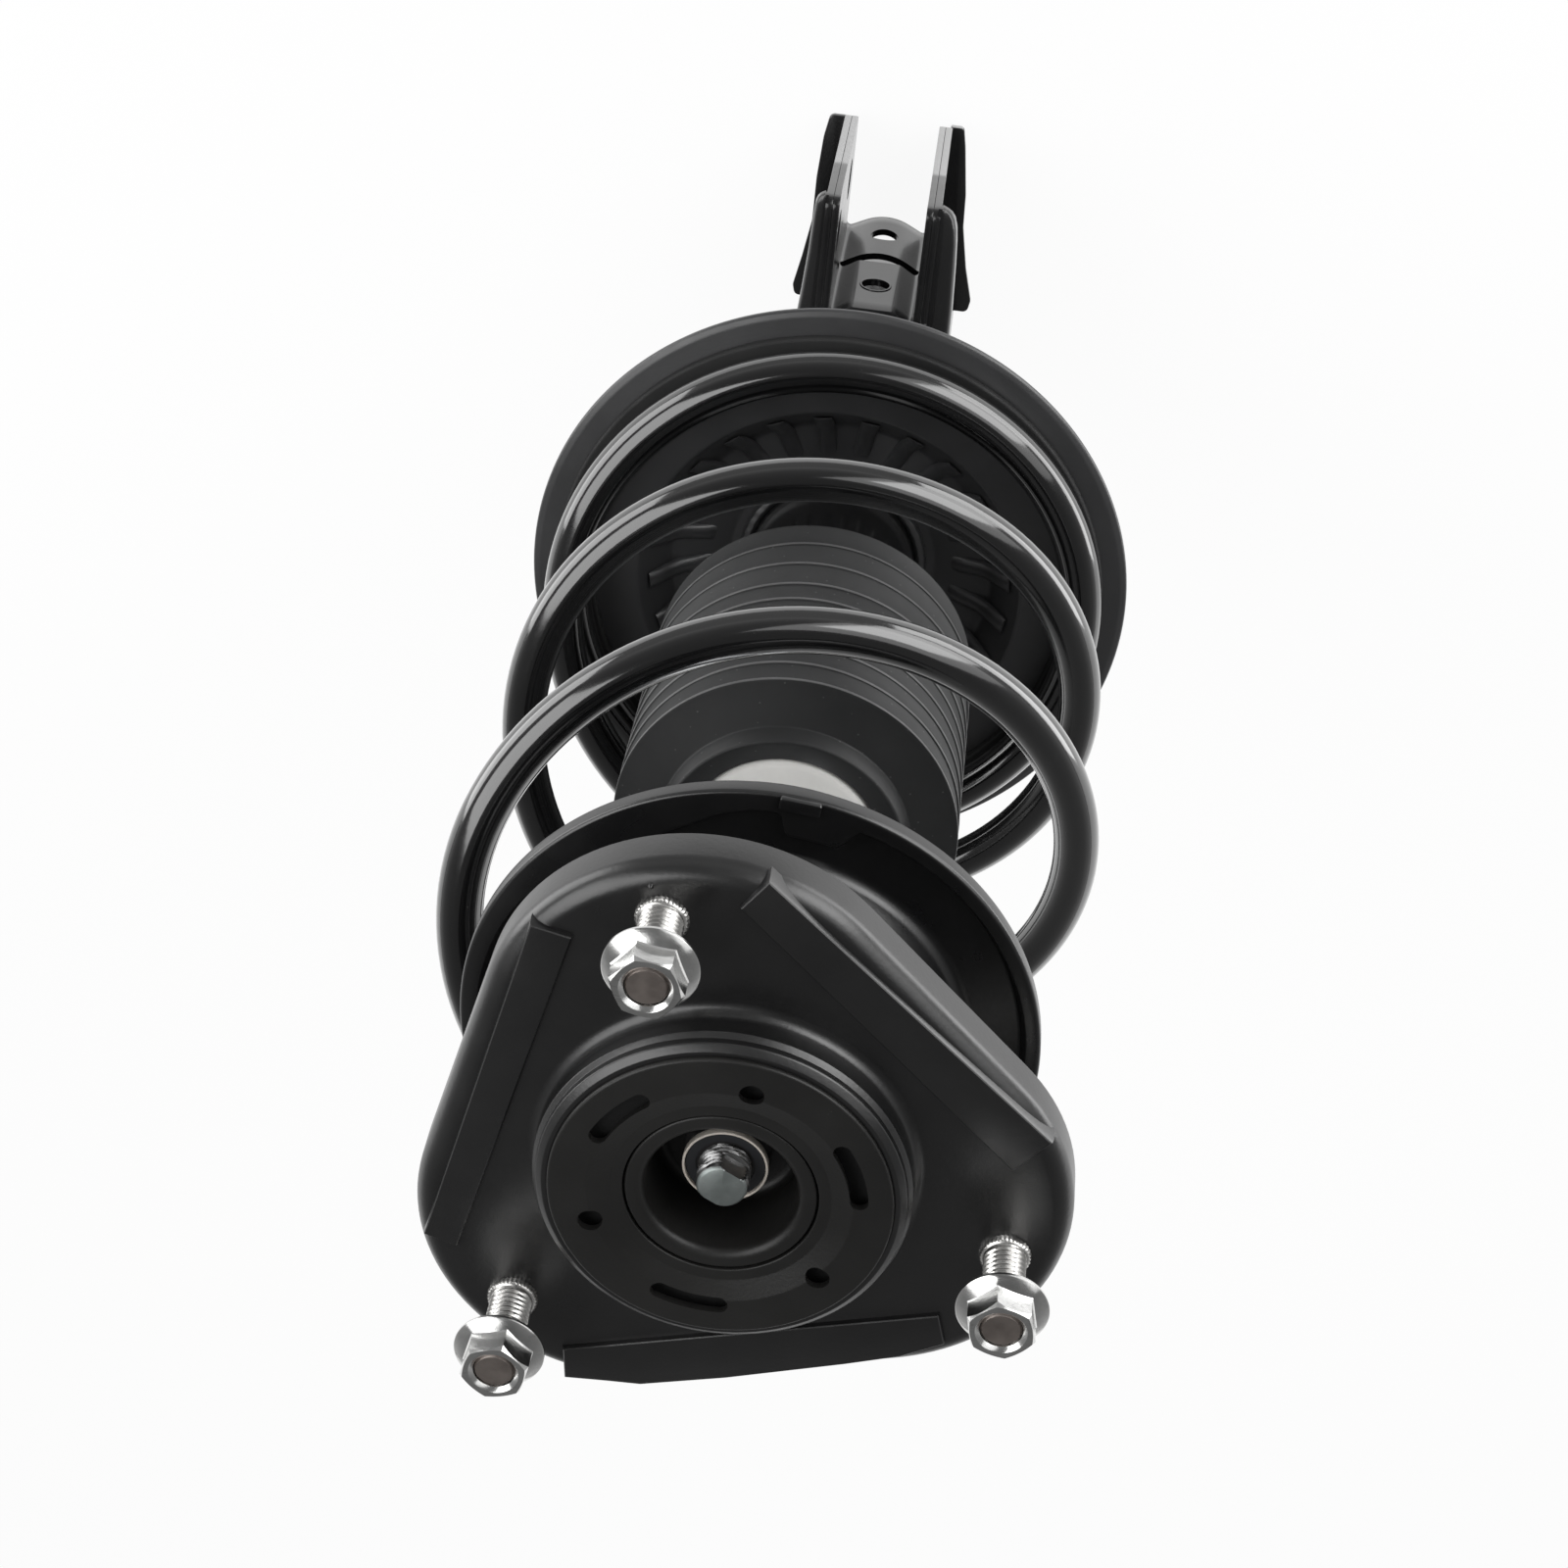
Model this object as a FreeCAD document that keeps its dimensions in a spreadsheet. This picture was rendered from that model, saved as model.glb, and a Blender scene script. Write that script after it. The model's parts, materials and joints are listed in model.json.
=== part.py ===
"""Front suspension strut with its coil spring, top mount, dust boot and knuckle bracket.

The strut stands along Z. The origin is the centre of the three mounting studs, in the plane of the
mount plate that they come out of. +Z points up through the top mount, and the knuckle bracket's
two ears point towards -Y.
"""
import FreeCAD, Part
import math
import os

import Sketcher

VECTOR = FreeCAD.Vector
UP = VECTOR(0, 0, 1)

# Driving dimensions in millimetres, angles in degrees.
DIMENSIONS = {
    # mount plate
    "plate_sheet": 3.0,
    "plate_skirt": 13.0,
    "plate_edge_radius": 6.0,
    "corner_reach": 30.7,
    "corner_radius": 48.2,
    "stud_angle": -73.5,
    "neck_inner": 39.0,
    "neck_sheet": 2.2,
    "neck_foot": 6.0,
    "bead_height": 7.5,
    "bead_depth": 0.9,
    "lip_top": 12.2,
    "lip_sheet": 1.5,
    "lip_inner": 38.0,
    "pad_inset": 14.3,
    "pad_depth": 9.5,
    "pad_half": 47.0,
    "pad_rise": 1.8,
    # studs and their flange nuts
    "stud_circle": 66.0,
    "stud_radius": 5.0,
    "stud_knurl": 5.5,
    "stud_head": 7.0,
    "stud_head_thick": 3.5,
    "stud_end": 24.6,
    "nut_seat": 17.1,
    "nut_top": 25.4,
    "nut_across_flats": 14.0,
    "nut_flange": 10.3,
    "nut_flange_thick": 1.9,
    "thread_depth": 0.3,
    "thread_gap": 0.05,
    # slotted cover disc
    "cover_top": 12.5,
    "cover_sheet": 1.8,
    "cover_plateau": 37.5,
    "cover_dimple": 29.0,
    "cover_ring": 24.4,
    "cover_bore": 21.6,
    "cover_drop": 1.8,
    "slot_angle": -38.2,
    "slot_circle": 30.5,
    "slot_width": 4.4,
    "slot_span_angle": 28.0,
    "vent_circle": 30.0,
    "vent_radius": 2.6,
    # cup around the rod nut
    "cup_inner": 16.9,
    "cup_sheet": 2.0,
    "cup_lip": 21.2,
    "cup_top": 10.4,
    "cup_floor": -9.5,
    "washer_radius": 13.5,
    "washer_thick": 2.0,
    "rod_nut_across_flats": 19.0,
    "rod_nut_hex": 6.6,
    "rod_nut_collar": 9.6,
    "rod_nut_collar_rise": 2.2,
    "rod_nut_collar_wall": 0.7,
    "insert_inner": 6.6,
    # rubber and its housing
    "rubber_top": 7.8,
    "housing_sheet": 2.5,
    "housing_flange": 55.0,
    "housing_bore": 14.0,
    "rebound_washer": 24.0,
    "rebound_washer_thick": 2.5,
    "rubber_foot": 1.6,
    "bond_gap": 0.1,
    # strut bearing
    "race_inner": 26.0,
    "race_outer": 38.0,
    "race_thick": 3.0,
    "ball_circle": 32.0,
    "ball_radius": 3.0,
    "ball_gap": 0.06,
    "race_gap": 3.6,
    "cage_thick": 2.4,
    "cage_half_width": 4.6,
    "pocket_gap": 0.15,
    # upper spring seat and its isolator
    "seat_sheet": 2.6,
    "seat_bore": 16.0,
    "seat_neck": 20.5,
    "seat_shelf": 40.0,
    "seat_channel": 12.4,
    "seat_land": 6.0,
    "seat_radius": 68.4,
    "seat_crest": -45.9,
    "seat_channel_drop": 3.3,
    "seat_edge_radius": 1.0,
    "seat_skirt": 4.7,
    "lug_width": 9.8,
    "lug_rise": 1.3,
    "lug_angle": -95.0,
    "upper_isolator_thick": 1.2,
    "isolator_thick": 3.0,
    # coil spring
    "wire_radius": 5.8,
    "coil_radius": 75.4,
    "end_coil_inset": 12.4,
    "spring_angle": -3.0,
    "lower_wire": -259.0,
    "seat_touch": 0.1,
    # piston rod and piston
    "rod_radius": 10.0,
    "spigot_radius": 6.0,
    "spigot_gap": 0.15,
    "rod_top": 8.5,
    "rod_flat": 4.6,
    "rod_flat_length": 5.0,
    "rebound_stop_radius": 13.5,
    "rebound_stop_length": 8.0,
    "piston_length": 16.0,
    "piston_nut_across_flats": 17.0,
    "piston_nut_length": 7.0,
    "rod_end_past_nut": 1.5,
    "piston_band_length": 8.0,
    "piston_band_depth": 1.4,
    "running_gap": 0.05,
    # damper tube and what is inside it
    "tube_radius": 25.0,
    "tube_wall": 2.0,
    "tube_top": -192.0,
    "tube_bottom": -470.0,
    "bump_cap_skirt": 14.0,
    "bump_cap_sheet": 2.0,
    "seal_thick": 4.0,
    "guide_flange": 10.0,
    "guide_boss": 8.0,
    "bush_wall": 0.9,
    "pressure_bore": 15.0,
    "pressure_wall": 2.0,
    "valve_spigot": 8.0,
    "valve_flange": 6.0,
    "end_cap_thick": 6.0,
    "end_cap_inset": 4.0,
    "slide_gap": 0.3,
    # lower spring seat
    "pan_sheet": 3.0,
    "pan_radius": 88.5,
    "pan_rim_run": 8.5,
    "pan_rim_fall": 0.7,
    "pan_rim_slant": 0.3,
    "pan_rim_drop": 2.5,
    "pan_step_inset": 18.4,
    "pan_floor_drop": 13.0,
    "pan_floor": 48.0,
    "pan_hub": 31.0,
    "pan_hub_drop": 19.0,
    "pan_collar": 16.0,
    "rib_inner": 36.0,
    "rib_rise": 2.0,
    "rib_width": 5.0,
    "rib_stop": 4.0,
    "lower_isolator_half": 6.0,
    # bump stop and dust boot
    "bump_top": -129.0,
    "bump_flange": 25.1,
    "bump_body": 22.0,
    "bump_groove": 18.5,
    "bump_bore": 10.6,
    "bump_bevel": 1.5,
    "boot_near": -136.0,
    "boot_radius": 45.0,
    "boot_wall": 1.6,
    "boot_mouth": 25.4,
    "boot_mouth_rise": 6.8,
    "boot_collar": 31.5,
    "boot_collar_rise": 8.3,
    "boot_collar_foot": 32.8,
    "boot_cone_rise": 3.2,
    "boot_shoulder": 1.3,
    "boot_groove": 1.9,
    "boot_bead": 1.2,
    "boot_flare": 1.0,
    "fine_pitch": 8.5,
    "wide_pitch": 11.5,
    # knuckle bracket
    "bracket_sheet": 2.4,
    "inner_sheet": 2.2,
    "ear_gap": 28.2,
    "ear_reach": 70.0,
    "ear_top": -400.0,
    "bracket_bottom": -482.0,
    "wrap_top": -352.0,
    "wrap_start": 12.0,
    "ear_back": 30.0,
    "ear_corner": 4.0,
    "flange_front": 24.0,
    "flange_middle": 27.4,
    "flange_rear": 31.6,
    "top_flange": 24.5,
    "flange_lap": 1.0,
    "flange_bevel": 1.5,
    "flange_shoulder": 9.0,
    "flange_end": -1.6,
    "web_front": 33.6,
    "web_edge": 29.0,
    "web_facet": 7.0,
    "web_slot_low": -448.0,
    "web_slot_high": -440.5,
    "web_hole_radius": 4.7,
    "web_hole_low": -465.3,
    "web_hole_high": -420.5,
    "bolt_radius": 7.1,
    "bolt_reach": 53.0,
    "bolt_low": -463.0,
    "bolt_high": -415.0,
    "overshoot": 2.0,
}
# Counts of repeated features.
STUD_COUNT = 3
BALL_COUNT = 24
RIB_COUNT = 24
FINE_FOLDS = 6
WIDE_FOLDS = 3

doc = FreeCAD.newDocument("strut_assembly")
sheet = doc.addObject("Spreadsheet::Sheet", "sizes")
for row, (alias, value) in enumerate(DIMENSIONS.items(), 1):
    sheet.set("A%d" % row, alias)
    sheet.set("B%d" % row, str(value))
    sheet.setAlias("B%d" % row, alias)
doc.recompute()

parts = []


class Size:
    """A number together with its formula in the sheet."""

    def __init__(self, formula, value):
        self.formula = formula
        self.value = value

    def __add__(self, other):
        other = as_size(other)
        return Size("(%s + %s)" % (self.formula, other.formula), self.value + other.value)

    def __sub__(self, other):
        other = as_size(other)
        return Size("(%s - %s)" % (self.formula, other.formula), self.value - other.value)

    def __mul__(self, other):
        other = as_size(other)
        return Size("(%s * %s)" % (self.formula, other.formula), self.value * other.value)

    def __truediv__(self, other):
        other = as_size(other)
        return Size("(%s / %s)" % (self.formula, other.formula), self.value / other.value)

    def __neg__(self):
        return Size("(0 - %s)" % self.formula, -self.value)


def as_size(item):
    if isinstance(item, Size):
        return item
    return Size("(%r)" % float(item), float(item))


class SheetSizes:
    """Reads any named dimension as a Size."""

    def __getattr__(self, alias):
        return Size("sizes.%s" % alias, float(sheet.get(alias)))


d = SheetSizes()


def bind(item, prop, size):
    """Ties one property of a document object to a size."""
    item.setExpression(prop, as_size(size).formula)


def keep(item, label):
    """Names a finished sub-part."""
    item.Label = label
    parts.append(item)
    return item


# Sketches


def sketch_on(body, role, offset=0.0):
    """A sketch on one of the body's origin planes, moved along that plane's normal."""
    plane = [f for f in body.Origin.OriginFeatures if f.Role == role][0]
    sketch = body.newObject("Sketcher::SketchObject", "outline")
    sketch.AttachmentSupport = [(plane, "")]
    sketch.MapMode = "FlatFace"
    bind(sketch, "AttachmentOffset.Base.z", offset)
    return sketch


def place_point(sketch, geometry, end, x, y):
    """Holds a point of the sketch at x, y measured from the origin."""
    for kind, size, axis in (("DistanceX", as_size(x), -2), ("DistanceY", as_size(y), -1)):
        if abs(size.value) < 1e-9:
            sketch.addConstraint(Sketcher.Constraint("PointOnObject", geometry, end, axis))
            continue
        index = sketch.addConstraint(
            Sketcher.Constraint(kind, -1, 1, geometry, end, size.value)
        )
        sketch.setExpression("Constraints[%d]" % index, size.formula)


def draw_polygon(sketch, points):
    """A closed outline of straight lines through the given points."""
    corners = [VECTOR(as_size(x).value, as_size(y).value, 0) for x, y in points]
    count = len(corners)
    first = sketch.GeometryCount
    lines = [Part.LineSegment(corners[i], corners[(i + 1) % count]) for i in range(count)]
    sketch.addGeometry(lines, False)
    sketch.addConstraint(
        [
            Sketcher.Constraint("Coincident", first + i, 2, first + (i + 1) % count, 1)
            for i in range(count)
        ]
    )
    for i, (x, y) in enumerate(points):
        place_point(sketch, first + i, 1, x, y)


def draw_circle(sketch, x, y, radius):
    """A circle with its centre and radius held."""
    radius = as_size(radius)
    centre = VECTOR(as_size(x).value, as_size(y).value, 0)
    index = sketch.addGeometry(Part.Circle(centre, UP, radius.value), False)
    held = sketch.addConstraint(Sketcher.Constraint("Radius", index, radius.value))
    sketch.setExpression("Constraints[%d]" % held, radius.formula)
    place_point(sketch, index, 3, x, y)


def draw_rounded_triangle(sketch, reach, radius):
    """Three equal corner arcs, the first one on +X, joined by tangent lines."""
    turn = 2 * math.pi / STUD_COUNT
    half = turn / 2
    arcs = []
    for i in range(STUD_COUNT):
        centre = VECTOR(math.cos(i * turn), math.sin(i * turn), 0) * reach.value
        circle = Part.Circle(centre, UP, radius.value)
        arcs.append(Part.ArcOfCircle(circle, i * turn - half, i * turn + half))
    sketch.addGeometry(arcs, False)
    lines = [
        Part.LineSegment(arcs[i].EndPoint, arcs[(i + 1) % STUD_COUNT].StartPoint)
        for i in range(STUD_COUNT)
    ]
    sketch.addGeometry(lines, False)
    for i in range(STUD_COUNT):
        angle = 360.0 * i / STUD_COUNT
        centre = (
            reach * Size("cos(%r)" % angle, math.cos(i * turn)),
            reach * Size("sin(%r)" % angle, math.sin(i * turn)),
        )
        place_point(sketch, i, 3, *centre)
        held = sketch.addConstraint(Sketcher.Constraint("Radius", i, radius.value))
        sketch.setExpression("Constraints[%d]" % held, radius.formula)
        line = STUD_COUNT + i
        sketch.addConstraint(Sketcher.Constraint("Tangent", i, 2, line, 1))
        sketch.addConstraint(
            Sketcher.Constraint("Tangent", line, 2, (i + 1) % STUD_COUNT, 1)
        )


# Features


def new_body(name):
    return doc.addObject("PartDesign::Body", name)


def add_turned(body, points):
    """Turns a polygon of radius and height pairs about the strut's axis."""
    sketch = sketch_on(body, "XZ_Plane")
    draw_polygon(sketch, points)
    feature = body.newObject("PartDesign::Revolution", "turned")
    feature.Profile = sketch
    feature.ReferenceAxis = (sketch, ["V_Axis"])
    feature.Angle = 360
    return feature


def add_pad(body, draw, low, length, role="XY_Plane", both_ways=False):
    """Raises an outline from the plane at low."""
    sketch = sketch_on(body, role, low)
    draw(sketch)
    feature = body.newObject("PartDesign::Pad", "raised")
    feature.Profile = sketch
    if both_ways:
        feature.SideType = "Symmetric"
    bind(feature, "Length", length)
    return feature


def add_pocket(body, draw, level, depth, upwards=False):
    """Cuts an outline down from the plane at level, or upwards from it."""
    sketch = sketch_on(body, "XY_Plane", level)
    draw(sketch)
    feature = body.newObject("PartDesign::Pocket", "cut")
    feature.Profile = sketch
    feature.Reversed = upwards
    bind(feature, "Length", depth)
    return feature


def round_edges(body, base, radius, chosen):
    """Rounds the edges of the base feature for which chosen(edge) is true."""
    doc.recompute()
    names = [
        "Edge%d" % (i + 1) for i, edge in enumerate(base.Shape.Edges) if chosen(edge)
    ]
    feature = body.newObject("PartDesign::Fillet", "rounded")
    feature.Base = (base, names)
    bind(feature, "Radius", radius)
    return feature


def repeat_around(body, features, count):
    """Repeats features about the strut's axis."""
    axis = [f for f in body.Origin.OriginFeatures if f.Role == "Z_Axis"][0]
    pattern = body.newObject("PartDesign::PolarPattern", "around")
    pattern.Originals = features
    pattern.Axis = (axis, [""])
    pattern.Angle = 360
    pattern.Occurrences = count
    body.Tip = pattern
    return pattern


def turned_body(label, points):
    """A whole sub-part turned from one outline."""
    body = new_body(label)
    add_turned(body, points)
    return keep(body, label)


# Solid primitives and booleans


def cylinder(radius, low, height, x=0.0, y=0.0):
    item = doc.addObject("Part::Cylinder", "round_bar")
    bind(item, "Radius", radius)
    bind(item, "Height", height)
    bind(item, "Placement.Base.x", x)
    bind(item, "Placement.Base.y", y)
    bind(item, "Placement.Base.z", low)
    return item


def cross_bar(radius, length, y, z):
    """A round bar along X, centred on the YZ plane."""
    item = cylinder(radius, z, length, y=y)
    item.Placement.Rotation = FreeCAD.Rotation(VECTOR(0, 1, 0), 90)
    bind(item, "Placement.Base.x", -as_size(length) / 2)
    return item


def front_bar(radius, front, length, z):
    """A round bar along Y that starts at y = front."""
    item = cylinder(radius, z, length, y=front)
    item.Placement.Rotation = FreeCAD.Rotation(VECTOR(1, 0, 0), -90)
    return item


def block(half_width, front, back, low, high):
    """A box centred on x = 0 that runs from y = front to y = back."""
    item = doc.addObject("Part::Box", "block")
    bind(item, "Length", as_size(half_width) * 2)
    bind(item, "Width", as_size(back) - front)
    bind(item, "Height", as_size(high) - low)
    bind(item, "Placement.Base.x", -as_size(half_width))
    bind(item, "Placement.Base.y", front)
    bind(item, "Placement.Base.z", low)
    return item


def hexagon(across_flats, low, height):
    item = doc.addObject("Part::Prism", "hexagon")
    item.Polygon = 6
    bind(item, "Circumradius", across_flats / (2 * math.cos(math.pi / 6)))
    bind(item, "Height", height)
    bind(item, "Placement.Base.z", low)
    return item


def cut(base, tool):
    item = doc.addObject("Part::Cut", "cut_piece")
    item.Base = base
    item.Tool = tool
    return item


def fuse(*pieces):
    item = doc.addObject("Part::MultiFuse", "joined_piece")
    item.Shapes = list(pieces)
    item.Refine = True
    return item


def common(*pieces):
    item = doc.addObject("Part::MultiCommon", "shared_piece")
    item.Shapes = list(pieces)
    item.Refine = True
    return item


def ring_of(label, source, count, first_angle):
    """Copies of one solid, evenly turned about the strut's axis, as separate solids."""
    doc.recompute()
    copies = []
    for i in range(count):
        copy = source.Shape.copy()
        copy.rotate(VECTOR(0, 0, 0), UP, first_angle + 360.0 * i / count)
        copies.append(copy)
    item = doc.addObject("Part::Feature", label)
    item.Shape = Part.makeCompound(copies)
    return item


# Levels that several sub-parts share.
plate_top = as_size(0.0)
plate_side = d.corner_reach / 2 + d.corner_radius
plate_bottom = -d.plate_sheet
cup_underside = d.cup_floor - d.cup_sheet
rod_shoulder = cup_underside - d.rebound_washer_thick
housing_floor = rod_shoulder - d.rubber_foot
housing_bottom = housing_floor - d.housing_sheet
upper_race_bottom = housing_bottom - d.race_thick
lower_race_top = upper_race_bottom - d.race_gap
ball_level = upper_race_bottom - d.race_gap / 2
seat_top = lower_race_top - d.race_thick
channel_top = d.seat_crest - d.seat_channel_drop
seat_land_inner = d.seat_radius - d.seat_land
seat_channel_inner = seat_land_inner - d.seat_channel
isolator_bottom = channel_top - d.seat_sheet - d.upper_isolator_thick
upper_wire = isolator_bottom - d.seat_touch - d.wire_radius
pan_top = d.lower_wire - d.wire_radius - d.seat_touch - d.isolator_thick
pan_shoulder = d.pan_radius - d.pan_rim_run
pan_step = d.coil_radius - d.pan_step_inset
lower_isolator_inner = d.coil_radius - d.lower_isolator_half
lower_isolator_outer = d.coil_radius + d.lower_isolator_half
piston_top_level = (
    d.tube_top
    - d.seal_thick
    - d.guide_flange
    - d.guide_boss
    - d.slide_gap
    - d.rebound_stop_length
)
ear_inner = d.ear_gap / 2
ear_middle = ear_inner + d.inner_sheet
ear_outer = ear_middle + d.bracket_sheet
wrap_inner = d.tube_radius + d.bond_gap
wrap_outer = wrap_inner + d.bracket_sheet


# Top mount

# One raised pad along each side of the plate: the side's turn from the first corner, and the
# pad's corners as shares of its half length along the side and of its depth outwards.
PLATE_PADS = (
    (60.0, ((-1.0, 0.99), (0.98, 0.79), (0.98, -0.1), (-1.0, 0.05))),
    (180.0, ((-1.07, 0.86), (-0.72, 1.23), (0.38, 1.15), (0.86, 0.77), (0.84, -0.4), (-1.02, -0.08))),
    (300.0, ((-0.79, 1.15), (1.1, 1.0), (1.07, 0.04), (-0.79, 0.08))),
)


def along_side(turn, along, out):
    """The place of a point beside the plate's side that faces the given turn."""
    across = Size("cos(%r)" % turn, math.cos(math.radians(turn)))
    upright = Size("sin(%r)" % turn, math.sin(math.radians(turn)))
    return out * across - along * upright, out * upright + along * across


def make_mount_plate():
    """Stamped three-cornered plate with a rolled edge, a drawn neck and three straight pads."""
    body = new_body("mount_plate")
    blank = add_pad(
        body,
        lambda sketch: draw_rounded_triangle(sketch, d.corner_reach, d.corner_radius),
        -d.plate_skirt,
        d.plate_skirt,
    )
    round_edges(
        body,
        blank,
        d.plate_edge_radius,
        lambda edge: all(abs(vertex.Z) < 1e-6 for vertex in edge.Vertexes),
    )
    inner_radius = d.corner_radius - d.plate_sheet
    hollow = add_pocket(
        body,
        lambda sketch: draw_rounded_triangle(sketch, d.corner_reach, inner_radius),
        -d.plate_skirt,
        d.plate_skirt - d.plate_sheet,
        upwards=True,
    )
    round_edges(
        body,
        hollow,
        d.plate_edge_radius - d.plate_sheet,
        lambda edge: all(abs(vertex.Z - plate_bottom.value) < 1e-6 for vertex in edge.Vertexes)
        and edge.BoundBox.DiagonalLength > d.plate_sheet.value,
    )
    neck_outer = d.neck_inner + d.neck_sheet
    lip_bottom = d.lip_top - d.lip_sheet
    add_turned(
        body,
        [
            (d.neck_inner, plate_bottom),
            (neck_outer + d.neck_foot, plate_bottom),
            (neck_outer + d.neck_foot, plate_top),
            (neck_outer + d.neck_foot * 0.45, d.neck_foot * 0.2),
            (neck_outer + d.neck_foot * 0.12, d.neck_foot * 0.5),
            (neck_outer, d.neck_foot),
            (neck_outer, d.bead_height - d.bead_depth),
            (neck_outer + d.bead_depth, d.bead_height),
            (neck_outer, d.bead_height + d.bead_depth),
            (neck_outer, lip_bottom),
            (neck_outer - d.lip_sheet, d.lip_top),
            (d.lip_inner, d.lip_top),
            (d.lip_inner, lip_bottom),
            (d.neck_inner, lip_bottom),
        ],
    )
    add_pocket(
        body,
        lambda sketch: draw_circle(sketch, 0, 0, d.neck_inner),
        plate_top,
        d.plate_sheet,
    )
    hole = add_pocket(
        body,
        lambda sketch: draw_circle(sketch, d.stud_circle, 0, d.stud_knurl),
        plate_top,
        d.plate_sheet,
    )
    repeat_around(body, [hole], STUD_COUNT)
    pad_inner = plate_side - d.pad_inset
    for turn, corners in PLATE_PADS:
        outline = [
            along_side(turn, d.pad_half * along, pad_inner + d.pad_depth * out)
            for along, out in corners
        ]
        add_pad(
            body,
            lambda sketch, outline=outline: draw_polygon(sketch, outline),
            plate_bottom,
            d.plate_sheet + d.pad_rise,
        )
    bind(body, "Placement.Rotation.Angle", d.stud_angle)
    return keep(body, "mount_plate")


def make_cover_disc():
    """Pressed disc over the rubber, with three curved slots and three round vents."""
    body = new_body("cover_blank")
    top = d.cover_top
    low = top - d.cover_drop
    flange_top = d.lip_top - d.lip_sheet - d.bond_gap
    rim = d.neck_inner - d.bond_gap
    add_turned(
        body,
        [
            (d.cover_bore, low - d.cover_sheet),
            (d.cover_ring, low - d.cover_sheet),
            (d.cover_dimple, top - d.cover_sheet),
            (d.cover_plateau - d.cover_sheet, top - d.cover_sheet),
            (d.cover_plateau - d.cover_sheet, flange_top - d.cover_sheet),
            (rim, flange_top - d.cover_sheet),
            (rim, flange_top),
            (d.cover_plateau, flange_top),
            (d.cover_plateau, top),
            (d.cover_dimple, top),
            (d.cover_ring, low),
            (d.cover_bore, low),
        ],
    )
    deep = d.cover_sheet * 3
    slot_low = top - d.cover_sheet * 2
    half_width = d.slot_width / 2
    sector = cylinder(d.slot_circle + half_width, slot_low, deep)
    bind(sector, "Angle", d.slot_span_angle)
    core = cylinder(d.slot_circle - half_width, slot_low, deep)
    first_end = cylinder(half_width, slot_low, deep, x=d.slot_circle)
    span = math.radians(d.slot_span_angle.value)
    last_end = cylinder(
        half_width,
        slot_low,
        deep,
        x=d.slot_circle * Size("cos(sizes.slot_span_angle)", math.cos(span)),
        y=d.slot_circle * Size("sin(sizes.slot_span_angle)", math.sin(span)),
    )
    slot = fuse(cut(sector, core), first_end, last_end)
    vent = cylinder(d.vent_radius, slot_low, deep, x=d.vent_circle)
    first = d.slot_angle.value
    slots = ring_of("slots", slot, STUD_COUNT, first - d.slot_span_angle.value / 2)
    vents = ring_of("vents", vent, STUD_COUNT, first + 60.0)
    return keep(cut(cut(body, slots), vents), "cover_disc")


def make_rod_cup():
    """Deep pressed cup that the rod nut sits in, with a turned-out lip."""
    wall = d.cup_inner + d.cup_sheet
    bore = d.spigot_radius + d.spigot_gap
    return turned_body(
        "rod_cup",
        [
            (bore, cup_underside),
            (wall, cup_underside),
            (wall, d.cup_top - d.cup_sheet),
            (d.cup_lip, d.cup_top - d.cup_sheet),
            (d.cup_lip, d.cup_top),
            (d.cup_inner, d.cup_top),
            (d.cup_inner, d.cup_floor),
            (bore, d.cup_floor),
        ],
    )


def make_mount_rubber():
    """Rubber ring bonded between the cup and the neck."""
    inner = d.cup_inner + d.cup_sheet + d.bond_gap
    outer = d.neck_inner - d.bond_gap
    washer_edge = d.rebound_washer + d.bond_gap
    foot = housing_floor + d.bond_gap
    step = cup_underside + d.bond_gap
    return turned_body(
        "mount_rubber",
        [
            (washer_edge, foot),
            (outer, foot),
            (outer, d.rubber_top),
            (inner, d.rubber_top),
            (inner, step),
            (washer_edge, step),
        ],
    )


def make_bearing_housing():
    """Pressed cup under the plate that closes the rubber in and carries the bearing."""
    inner = d.neck_inner
    outer = inner + d.housing_sheet
    flange_bottom = plate_bottom - d.housing_sheet
    return turned_body(
        "bearing_housing",
        [
            (d.housing_bore, housing_bottom),
            (outer, housing_bottom),
            (outer, flange_bottom),
            (d.housing_flange, flange_bottom),
            (d.housing_flange, plate_bottom),
            (inner, plate_bottom),
            (inner, housing_floor),
            (d.housing_bore, housing_floor),
        ],
    )


def make_washers():
    """Washer under the rod nut and the larger washer on the rod's shoulder."""
    bore = d.spigot_radius + d.spigot_gap
    turned_body(
        "rod_washer",
        [
            (bore, d.cup_floor),
            (d.washer_radius, d.cup_floor),
            (d.washer_radius, d.cup_floor + d.washer_thick),
            (bore, d.cup_floor + d.washer_thick),
        ],
    )
    turned_body(
        "rebound_washer",
        [
            (bore, rod_shoulder),
            (d.rebound_washer, rod_shoulder),
            (d.rebound_washer, cup_underside),
            (bore, cup_underside),
        ],
    )


def make_studs():
    """Three knurled mounting studs, pressed in from below."""
    thread = d.stud_radius - d.thread_depth
    knurl = d.stud_knurl - d.bond_gap
    head_bottom = plate_bottom - d.stud_head_thick
    axis = as_size(0.0)
    body = new_body("stud_blank")
    add_turned(
        body,
        [
            (axis, head_bottom),
            (d.stud_head, head_bottom),
            (d.stud_head, plate_bottom),
            (knurl, plate_bottom),
            (knurl, plate_top),
            (d.stud_radius, plate_top),
            (d.stud_radius, d.nut_seat),
            (thread, d.nut_seat),
            (thread, d.stud_end - d.thread_depth * 2),
            (thread - d.thread_depth * 2, d.stud_end),
            (axis, d.stud_end),
        ],
    )
    bind(body, "Placement.Base.x", d.stud_circle)
    return keep(ring_of("studs", body, STUD_COUNT, d.stud_angle.value), "mounting_studs")


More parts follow.
